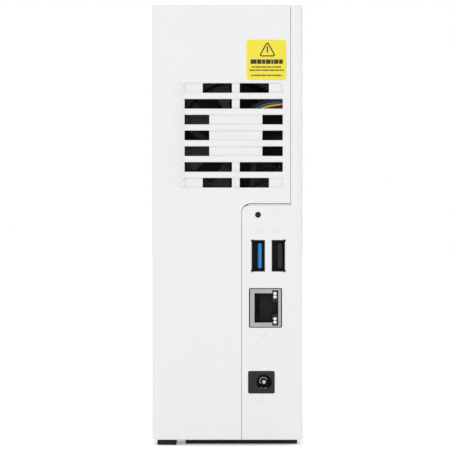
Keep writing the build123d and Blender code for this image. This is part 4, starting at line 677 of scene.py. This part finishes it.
class ThinWork:
    """Gathers thin closed shapes that lie on one site into a single piece."""

    def __init__(self, site: Site) -> None:
        """Starts an empty piece.

        Args:
            site: Where its shapes lie.
        """
        self.site = site
        self.mesh = bmesh.new()

    def _loop(self, outline: Sequence[Point], out: float) -> list[bmesh.types.BMVert]:
        """Adds an outline's points at a height above the site."""
        return [self.mesh.verts.new(self.site.point(u, v, out)) for u, v in outline]

    def _wall(self, low: list[bmesh.types.BMVert], high: list[bmesh.types.BMVert]) -> None:
        """Joins two loops with a strip of faces."""
        for k in range(len(low)):
            self.mesh.faces.new((low[k - 1], low[k], high[k], high[k - 1]))

    def slab(self, outline: Sequence[Point], low: float, high: float) -> None:
        """Adds a flat plate.

        Args:
            outline: Its outline.
            low: The height of its underside.
            high: The height of its top.
        """
        foot, head = self._loop(outline, low), self._loop(outline, high)
        self._wall(foot, head)
        self.mesh.faces.new(head)
        self.mesh.faces.new(foot[::-1])

    def rim(self, outer: Sequence[Point], inner: Sequence[Point], low: float, high: float) -> None:
        """Adds a plate with a hole, from two outlines that have as many points."""
        loops = [
            self._loop(outer, low), self._loop(outer, high), self._loop(inner, high), self._loop(inner, low),
        ]
        for k in range(4):
            self._wall(loops[k - 1], loops[k])

    def dome(self, centre: Point, half: Point, low: float, rise: float, levels: int = 7) -> None:
        """Adds a lens with a straight foot and a rounded crown.

        Args:
            centre: Its centre.
            half: Half its width and half its height.
            low: How far its foot goes below the site.
            rise: How far its crown stands above the site.
            levels: How many rings the crown has.
        """
        rings = [(1.0, low), *((math.cos(t), rise * math.sin(t)) for t in
                               (math.pi / 2 * k / levels for k in range(levels)))]
        loops = [
            self._loop([(centre[0] + half[0] * share * u, centre[1] + half[1] * share * v)
                        for u, v in circle((0.0, 0.0), 1.0, 32)], height)
            for share, height in rings
        ]
        for under, over in zip(loops, loops[1:]):
            self._wall(under, over)
        self.mesh.faces.new(loops[-1])
        self.mesh.faces.new(loops[0][::-1])

    def piece(self, name: str, body: str, finish: Finish, stands_for: Sequence[str] = (),
              smooth: bool = False) -> bpy.types.Object:
        """Turns the shapes into a piece that rides on a body.

        Args:
            name: The piece's name.
            body: The body it moves with.
            finish: Its finish.
            stands_for: The frame's nodes that it is shown instead of.
            smooth: Whether its faces are shaded as one curve.

        Returns:
            The piece.
        """
        bmesh.ops.recalc_face_normals(self.mesh, faces=self.mesh.faces)
        data = bpy.data.meshes.new(name)
        self.mesh.to_mesh(data)
        self.mesh.free()
        data.materials.append(material_of(finish))
        if smooth:
            data.shade_smooth()
        made = bpy.data.objects.new(name, data)
        bpy.context.scene.collection.objects.link(made)
        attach(made, body)
        if stands_for:
            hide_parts(*stands_for)
        LOG.info("built %s on %s with %d faces", name, body, len(data.polygons))
        return made


# ---------------------------------------------------------------- case
@dataclass
class Case:
    """The chassis shell, the cover, the front panel and their feet."""

    shells: tuple[str, ...] = ("chassis_shell", "side_cover")
    feet: tuple[str, ...] = ("chassis_feet", "cover_feet")

    def dress(self) -> None:
        """Gives the shells, the front and the feet their finishes."""
        dress(CASE_WHITE, *self.shells)
        dress(FRONT_WHITE, "front_bezel")
        dress(FootRubber(), *self.feet)


@dataclass
class CautionSticker:
    """The yellow film above the grille, with a plain triangle and ruled lines."""

    film: float = 0.085 * MM
    ink: float = 0.02 * MM
    corner: float = 1.3 * MM
    triangle_centre: Point = (0.3 * MM, 4.85 * MM)
    triangle_size: Point = (7.5 * MM, 6.7 * MM)
    line: float = 0.50 * MM
    inner_cut: Point = (3.4, 3.06)
    inner_drop: float = 0.53
    bar: Point = (0.55 * MM, 2.8 * MM)
    bar_drop: float = 0.35 * MM
    bold_row: Point = (-0.7 * MM, 1.9 * MM)
    bold_blocks: tuple[float, ...] = (2.6, 1.9, 1.4, 2.1, 0.9, 2.0, 1.6)
    fine_rows: tuple[Point, ...] = ((-3.0 * MM, 13.0 * MM), (-4.35 * MM, 14.8 * MM), (-6.55 * MM, 13.2 * MM))
    fine_height: float = 0.62 * MM
    gap: float = 0.22 * MM

    def build(self) -> None:
        """Builds the film, the triangle and the ruled lines."""
        low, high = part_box("caution_label")
        centre = middle_of("caution_label")
        site = rear_site(centre.x, low[1], centre.z)
        sheet = ThinWork(site)
        sheet.slab(oblong((0, 0), (high[0] - low[0], high[2] - low[2]), self.corner), 0, self.film)
        sheet.piece("caution_film", "cover", CAUTION_FILM, ("caution_label",))
        self._mark(site)
        self._rows(site)

    def _mark(self, site: Site) -> None:
        """Builds the triangle outline, its upright bar and the bold row."""
        mark = ThinWork(site)
        width, height = self.triangle_size
        top = self.film + self.ink
        centre = self.triangle_centre
        inner_centre = (centre[0], centre[1] - self.inner_drop * self.line)
        inner_size = (width - self.inner_cut[0] * self.line, height - self.inner_cut[1] * self.line)
        mark.rim(
            triangle(centre, width, height, 0.75 * MM), triangle(inner_centre, *inner_size, 0.3 * MM),
            self.film, top,
        )
        mark.slab(oblong((centre[0], centre[1] - self.bar_drop), self.bar, 0.2 * MM), self.film, top)
        span = sum(self.bold_blocks) * MM + self.gap * (len(self.bold_blocks) - 1)
        left = -span / 2
        for block in self.bold_blocks:
            width = block * MM
            mark.slab(
                oblong((left + width / 2, self.bold_row[0]), (width, self.bold_row[1]), 0.12 * MM),
                self.film, top,
            )
            left += width + self.gap
        mark.piece("caution_mark", "cover", CAUTION_INK)

    def _rows(self, site: Site) -> None:
        """Builds the fine ruled lines, each broken at uneven places."""
        rows = ThinWork(site)
        for index, (height, width) in enumerate(self.fine_rows):
            left = -width / 2
            share = 0
            while left < width / 2 - self.gap:
                length = min((1.1 + 0.55 * ((3 * share + 2 * index) % 4)) * MM, width / 2 - left)
                rows.slab(
                    oblong((left + length / 2, height), (length, self.fine_height), 0.08 * MM),
                    self.film, self.film + self.ink,
                )
                left += length + self.gap
                share += 1
        rows.piece("caution_lines", "cover", PALE_INK)


@dataclass
class PanelMarks:
    """Faint plain signs printed beside the connectors."""

    ink: float = 0.02 * MM
    line: float = 0.28 * MM
    reset_aside: float = 6.8 * MM
    usb_shares: Point = (0.27, 0.73)
    usb_sign: Point = (2.6 * MM, 1.5 * MM)
    usb_bar: Point = (1.5 * MM, 0.35 * MM)
    usb_above: float = 3.8 * MM
    lan_below: float = 3.6 * MM
    dc_below: float = 3.1 * MM

    def build(self) -> None:
        """Builds all the signs as one printed piece."""
        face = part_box("chassis_shell")[1][1]
        marks = ThinWork(rear_site(0.0, face, 0.0))
        self._reset(marks)
        self._usb(marks)
        self._network(marks)
        self._power(marks)
        marks.piece("panel_marks", "chassis", PANEL_INK)

    def _reset(self, marks: ThinWork) -> None:
        """A broken ring beside the reset hole."""
        spot = middle_of("reset_plunger")
        centre = (-spot.x + self.reset_aside, spot.z)
        marks.slab(band(centre, (0.95 * MM, 0.95 * MM + self.line), (-150, 120)), 0, self.ink)
        tip = (centre[0] - 0.85 * MM, centre[1] + 1.15 * MM)
        marks.slab(triangle(tip, 1.0 * MM, 0.8 * MM, 0.05 * MM), 0, self.ink)

    def _usb(self, marks: ThinWork) -> None:
        """A small socket outline over each of the two stacked sockets."""
        low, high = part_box("usb_stack_shell")
        inner = (self.usb_sign[0] - 2 * self.line, self.usb_sign[1] - 2 * self.line)
        for share in self.usb_shares:
            centre = (-(low[0] + (high[0] - low[0]) * share), high[2] + self.usb_above)
            marks.rim(oblong(centre, self.usb_sign, 0.2 * MM), oblong(centre, inner, 0.06 * MM), 0, self.ink)
            marks.slab(oblong(centre, self.usb_bar, 0.1 * MM), 0, self.ink)

    def _network(self, marks: ThinWork) -> None:
        """Three small boxes on a branching line under the network socket."""
        spot = middle_of("lan_shield")
        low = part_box("lan_shield")[0][2]
        centre = (-spot.x, low - self.lan_below)
        for u, v in ((0.0, 0.75), (-1.3, -0.75), (1.3, -0.75)):
            box = (centre[0] + u * MM, centre[1] + v * MM)
            marks.slab(oblong(box, (1.0 * MM, 0.8 * MM), 0.1 * MM), 0, self.ink)
        marks.slab(oblong(centre, (2.9 * MM, 0.2 * MM), 0.05 * MM), 0, self.ink)

    def _power(self, marks: ThinWork) -> None:
        """A ring with a middle dot and a bar at each side, under the power socket."""
        spot = middle_of("dc_jack_contacts")
        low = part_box("dc_jack_body")[0][2]
        centre = (-spot.x - 0.6 * MM, low - self.dc_below)
        marks.slab(band(centre, (0.75 * MM, 0.75 * MM + self.line), (40, 320)), 0, self.ink)
        marks.slab(circle(centre, 0.36 * MM, 24), 0, self.ink)
        for side in (-1, 1):
            dash = (centre[0] + side * 2.0 * MM, centre[1])
            marks.slab(oblong(dash, (1.3 * MM, 0.26 * MM), 0.08 * MM), 0, self.ink)


@dataclass
class RatingSticker:
    """The grey film under the case, with plain ruled lines and a row of bars."""

    film: float = 0.06 * MM
    ink: float = 0.02 * MM
    corner: float = 1.0 * MM
    rows: int = 7

    def build(self) -> None:
        """Builds the film and its print."""
        low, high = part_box("rating_label")
        centre = middle_of("rating_label")
        width, length = high[0] - low[0], high[1] - low[1]
        site = Site((centre.x, centre.y, high[2]), (1, 0, 0), (0, -1, 0))
        sheet = ThinWork(site)
        sheet.slab(oblong((0, 0), (width, length), self.corner), 0, self.film)
        sheet.piece("rating_film", "chassis", PAPER_GREY, ("rating_label",))
        ink = ThinWork(site)
        top = self.film + self.ink
        for row in range(self.rows):
            share = 0.82 - 0.22 * ((row * 5) % 3)
            height = length / 2 - (4.0 + 2.6 * row) * MM
            line = width * share
            ink.slab(oblong((line / 2 - width * 0.42, height), (line, 0.7 * MM), 0.1 * MM), self.film, top)
        for bar in range(16):
            thick = (0.3 + 0.25 * ((bar * 7) % 3)) * MM
            place = (-width * 0.38 + bar * width * 0.05, -length / 2 + 7 * MM)
            ink.slab(oblong(place, (thick, 7 * MM), 0.05 * MM), self.film, top)
        ink.piece("rating_print", "chassis", LABEL_INK)


# ---------------------------------------------------------------- connectors
@dataclass
class UsbSockets:
    """The stacked pair at the rear and the single one at the front."""

    def dress(self) -> None:
        """Gives shells, insulators, tongues and contacts their finishes."""
        # The stacked shell takes a dark colour that is painted shade.
        dress(PORT_SHADE_DARK, "usb_stack_shell")
        dress(PORT_TIN, "front_usb_shell")
        dress(SOCKET_BLACK, "usb_stack_core", "front_usb_core")
        dress(TONGUE_BLUE, "usb3_tongues")
        dress(CONTACT_SHADE_DARK, "usb_contacts")


@dataclass
class NetworkSocket:
    """The shielded network socket with a two-part lens over each lamp."""

    lobe: Point = (0.86 * MM, 0.74 * MM)
    spacing: float = 1.5 * MM
    rise: float = 0.5 * MM
    sink: float = 0.55 * MM
    foot: float = -1.6 * MM

    def dress(self) -> None:
        """Gives the shield, the insulator and the contacts their finishes."""
        dress(PORT_TIN, "lan_shield")
        dress(SOCKET_BLACK, "lan_core")
        dress(CONTACT_SHADE_DARK, "lan_contacts")

    def build(self) -> None:
        """Builds the four lens lobes."""
        low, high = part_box("lan_lamps")
        site = rear_site((low[0] + high[0]) / 2, high[1] - self.sink, 0.0)
        lenses = ThinWork(site)
        inset = self.lobe[1] + self.spacing / 2 + 0.1 * MM
        for lamp in (low[2] + inset, high[2] - inset):
            for side in (-1, 1):
                lenses.dome((0.0, lamp + side * self.spacing / 2), self.lobe, self.foot, self.rise)
        lenses.piece("lan_lenses", "chassis", CREAM_LENS, ("lan_lamps",), smooth=True)


@dataclass
class PowerSocket:
    """The barrel power socket with the sprung finger that grips the plug."""

    spring_radii: Point = (1.35 * MM, 1.75 * MM)
    spring_sweep: Point = (20.0, 225.0)
    spring_shift: Point = (-0.2 * MM, 0.3 * MM)
    spring_from: float = 4.4 * MM
    spring_to: float = 3.4 * MM

    def dress(self) -> None:
        """Gives the body and the pin their finishes."""
        dress(SOCKET_BLACK, "dc_jack_body")
        dress(PIN_NICKEL, "dc_jack_contacts")

    def build(self) -> None:
        """Builds the sprung finger, curved round the pin."""
        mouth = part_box("dc_jack_body")[1][1]
        spring = ThinWork(rear_site(0.0, mouth, 0.0))
        place = place_of(frame["record"]["mounts"], "power_jack")
        centre = (self.spring_shift[0] - place[0], self.spring_shift[1] + place[2])
        spring.slab(band(centre, self.spring_radii, self.spring_sweep), -self.spring_from, -self.spring_to)
        spring.piece("power_spring", "chassis", SPRING_STEEL)


# ---------------------------------------------------------------- front controls
@dataclass
class FrontControls:
    """The two buttons, the reset pin, the lamp window and their signs."""

    ink: float = 0.02 * MM
    ring: Point = (1.55 * MM, 1.85 * MM)
    page: Point = (1.7 * MM, 2.1 * MM)

    def dress(self) -> None:
        """Gives keys, plungers, switches and lamps their finishes."""
        dress(BUTTON_GREY, "power_button", "copy_button")
        dress(PLUNGER_BLACK, "power_plunger", "copy_plunger", "reset_plunger")
        dress(SOCKET_BLACK, "front_switches", "reset_switch")
        dress(CLEAR_LENS, "light_pipe")
        dress(LAMP_CHIP, "status_leds")

    def build(self) -> None:
        """Builds the sign on each button."""
        spot = middle_of("power_button")
        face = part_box("power_button")[0][1]
        sign = ThinWork(front_site(spot.x, face, spot.z))
        sign.slab(band((0, -0.15 * MM), self.ring, (125, 415)), 0, self.ink)
        sign.slab(oblong((0, 1.15 * MM), (0.3 * MM, 1.9 * MM), 0.12 * MM), 0, self.ink)
        sign.piece("power_sign", "power_key", CONTROL_INK)
        spot = middle_of("copy_button")
        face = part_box("copy_button")[0][1]
        sign = ThinWork(front_site(spot.x, face, spot.z))
        line = 0.28 * MM
        inner = (self.page[0] - 2 * line, self.page[1] - 2 * line)
        for u, v in ((-0.75, 0.0), (1.35, 0.0)):
            centre = (u * MM, v * MM)
            sign.rim(oblong(centre, self.page, 0.25 * MM), oblong(centre, inner, 0.08 * MM), 0, self.ink)
        sign.piece("copy_sign", "copy_key", CONTROL_INK)


# ---------------------------------------------------------------- inside
@dataclass
class FanUnit:
    """The fan behind the grille, its bracket, its leads and its plug."""

    def dress(self) -> None:
        """Gives the fan's pieces their finishes."""
        dress(FAN_BLACK, "fan_frame", "fan_rotor")
        dress(BEARING_BRONZE, "fan_bearing")
        dress(SHAFT_STEEL, "fan_shaft")
        dress(WoundCopper(), "fan_stator")
        dress(BRACKET_SHADE_DARK, "fan_bracket")
        dress(SCREW_ZINC, "fan_screws")
        dress(PLUG_WHITE, "fan_header", "fan_plug")
        for colour, finish in SLEEVES.items():
            dress(finish, f"fan_lead_{colour}")


@dataclass
class MainBoard:
    """The circuit board, what is soldered to it, and the backplane."""

    def dress(self) -> None:
        """Gives boards, packages, cans and screws their finishes."""
        dress(BOARD_GREEN, "main_board", "backplane_board")
        dress(PACKAGE_BLACK, "board_chips", "power_coils")
        dress(SINK_ALUMINIUM, "heat_sink")
        dress(CAN_ALUMINIUM, "capacitors")
        dress(SCREW_ZINC, "board_screws", "bracket_screws")
        dress(SOCKET_BLACK, "backplane_socket", "sata_receptacle")


@dataclass
class DiskDrive:
    """The hard disk, its bracket and a plain label on its lid."""

    label: Point = (66 * MM, 50 * MM)
    label_low: float = 14 * MM
    film: float = 0.08 * MM
    ink: float = 0.02 * MM
    lines: int = 8

    def dress(self) -> None:
        """Gives the drive's pieces their finishes."""
        # The casting's dark colour is painted shade.
        dress(DRIVE_CASTING, "drive_base")
        dress(LID_STEEL, "drive_lid")
        dress(SCREW_ZINC, "drive_lid_screws", "drive_screws")
        dress(BOARD_GREEN, "drive_board")
        dress(SOCKET_BLACK, "drive_connector")
        spindle = place_of(frame["joints"], "platter_spin")
        dress(MirrorDisc("platter_mirror", spindle), "drive_platters")
        dress(ARM_METAL, "drive_arm")
        dress(BRACKET_SHADE_DARK, "drive_bracket")

    def build(self) -> None:
        """Builds the lid's paper label and its print."""
        low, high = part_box("drive_lid")
        width, height = self.label
        middle = (high[0], (low[1] + high[1]) / 2, low[2] + self.label_low + height / 2)
        site = Site(middle, (0, 1, 0), (0, 0, 1))
        paper = ThinWork(site)
        paper.slab(oblong((0, 0), self.label, 1.5 * MM), 0, self.film)
        paper.piece("disk_label", "chassis", PAPER_WHITE)
        top = self.film + self.ink
        stripe = ThinWork(site)
        stripe.slab(oblong((0, height / 2 - 5 * MM), (width - 5 * MM, 4.5 * MM), 0.4 * MM), self.film, top)
        stripe.piece("disk_label_stripe", "chassis", STRIPE_INK)
        ink = ThinWork(site)
        for line in range(self.lines):
            length = (width * 0.5) * (1 - 0.16 * ((line * 5) % 4))
            place = (-width / 2 + 4 * MM + length / 2, height / 2 - (11 + 3.3 * line) * MM)
            ink.slab(oblong(place, (length, 1.0 * MM), 0.15 * MM), self.film, top)
        for bar in range(22):
            thick = (0.35 + 0.3 * ((bar * 7) % 3)) * MM
            place = (width * 0.10 + bar * 1.15 * MM, -height / 2 + 9 * MM)
            ink.slab(oblong(place, (thick, 10 * MM), 0.05 * MM), self.film, top)
        ink.piece("disk_label_print", "chassis", LABEL_INK)


# ---------------------------------------------------------------- studio
@dataclass
class Studio:
    """A pale room: even light all round, two soft lights on the connector side, and the camera."""

    distance: float = 0.9
    lens: float = 167.6
    aside: float = 0.6 * MM
    below_middle: float = 0.2 * MM
    room_light: float = 1.0
    key_place: tuple[float, float, float] = (0.15, 1.7, 0.05)
    key_size: float = 0.9
    key_power: float = 3.0
    top_place: tuple[float, float, float] = (0.3, 0.9, 1.3)
    top_size: float = 0.7
    top_power: float = 3.2
    floor_half: float = 6.0
    floor_gap: float = 0.05 * MM
    floor_colour: Colour = (0.93, 0.93, 0.93)
    floor_glow: float = 0.25

    def build(self) -> None:
        """Sets the colour handling, the room, the lights, the floor and the camera."""
        scene = bpy.context.scene
        scene.view_settings.view_transform = "Standard"
        scene.view_settings.look = "None"
        world = bpy.data.worlds.new("pale_room")
        world.use_nodes = True
        back = world.node_tree.nodes["Background"]
        back.inputs["Color"].default_value = (1.0, 1.0, 1.0, 1.0)
        back.inputs["Strength"].default_value = self.room_light
        scene.world = world
        low, high = CAD_BOX
        middle = Vector((0.0, 0.0, (low[2] + high[2]) / 2))
        self._light("key_light", Vector(self.key_place), middle, self.key_size, self.key_power)
        self._light("top_light", Vector(self.top_place), middle, self.top_size, self.top_power)
        self._floor(low[2])
        self._camera(high[1], middle.z)

    def _light(self, name: str, place: Vector, target: Vector, size: float, power: float) -> None:
        """Adds one soft square light aimed at a point."""
        data = bpy.data.lights.new(name, "AREA")
        data.size = size
        data.energy = power
        lamp = bpy.data.objects.new(name, data)
        lamp.location = place
        lamp.rotation_euler = (target - place).to_track_quat("-Z", "Y").to_euler()
        bpy.context.scene.collection.objects.link(lamp)

    def _floor(self, height: float) -> None:
        """Adds the floor that the case stands on."""
        recipe = Recipe("pale_floor")
        cloud = recipe.noise(0.2, 2.0)
        surface = recipe.finish({
            "Base Color": recipe.tinted(self.floor_colour, 0.01, cloud),
            "Roughness": 0.9,
            "Specular IOR Level": 0.1,
            "Emission Color": (1.0, 1.0, 1.0),
            "Emission Strength": self.floor_glow,
        })
        sheet = bmesh.new()
        bmesh.ops.create_grid(sheet, x_segments=2, y_segments=2, size=self.floor_half)
        data = bpy.data.meshes.new("floor")
        sheet.to_mesh(data)
        sheet.free()
        data.materials.append(surface)
        floor = bpy.data.objects.new("floor", data)
        floor.location.z = height - self.floor_gap
        bpy.context.scene.collection.objects.link(floor)

    def _camera(self, rear: float, middle: float) -> None:
        """Adds the camera, level and square to the connector side."""
        data = bpy.data.cameras.new("rear_camera")
        data.lens = self.lens
        data.sensor_width = 36.0
        eye = bpy.data.objects.new("rear_camera", data)
        eye.location = (self.aside, rear + self.distance, middle - self.below_middle)
        eye.rotation_euler = (math.pi / 2, 0.0, math.pi)
        bpy.context.scene.collection.objects.link(eye)
        bpy.context.scene.camera = eye


def main() -> None:
    """Builds and dresses every sub-assembly."""
    logging.basicConfig(level=logging.INFO, format="%(name)s: %(message)s")
    Studio().build()
    for part in (Case(), UsbSockets(), NetworkSocket(), PowerSocket(), FrontControls(), FanUnit(),
                 MainBoard(), DiskDrive()):
        part.dress()
    for part in (CautionSticker(), PanelMarks(), RatingSticker(), NetworkSocket(), PowerSocket(),
                 FrontControls(), DiskDrive()):
        part.build()


if __name__ == "__main__":
    main()
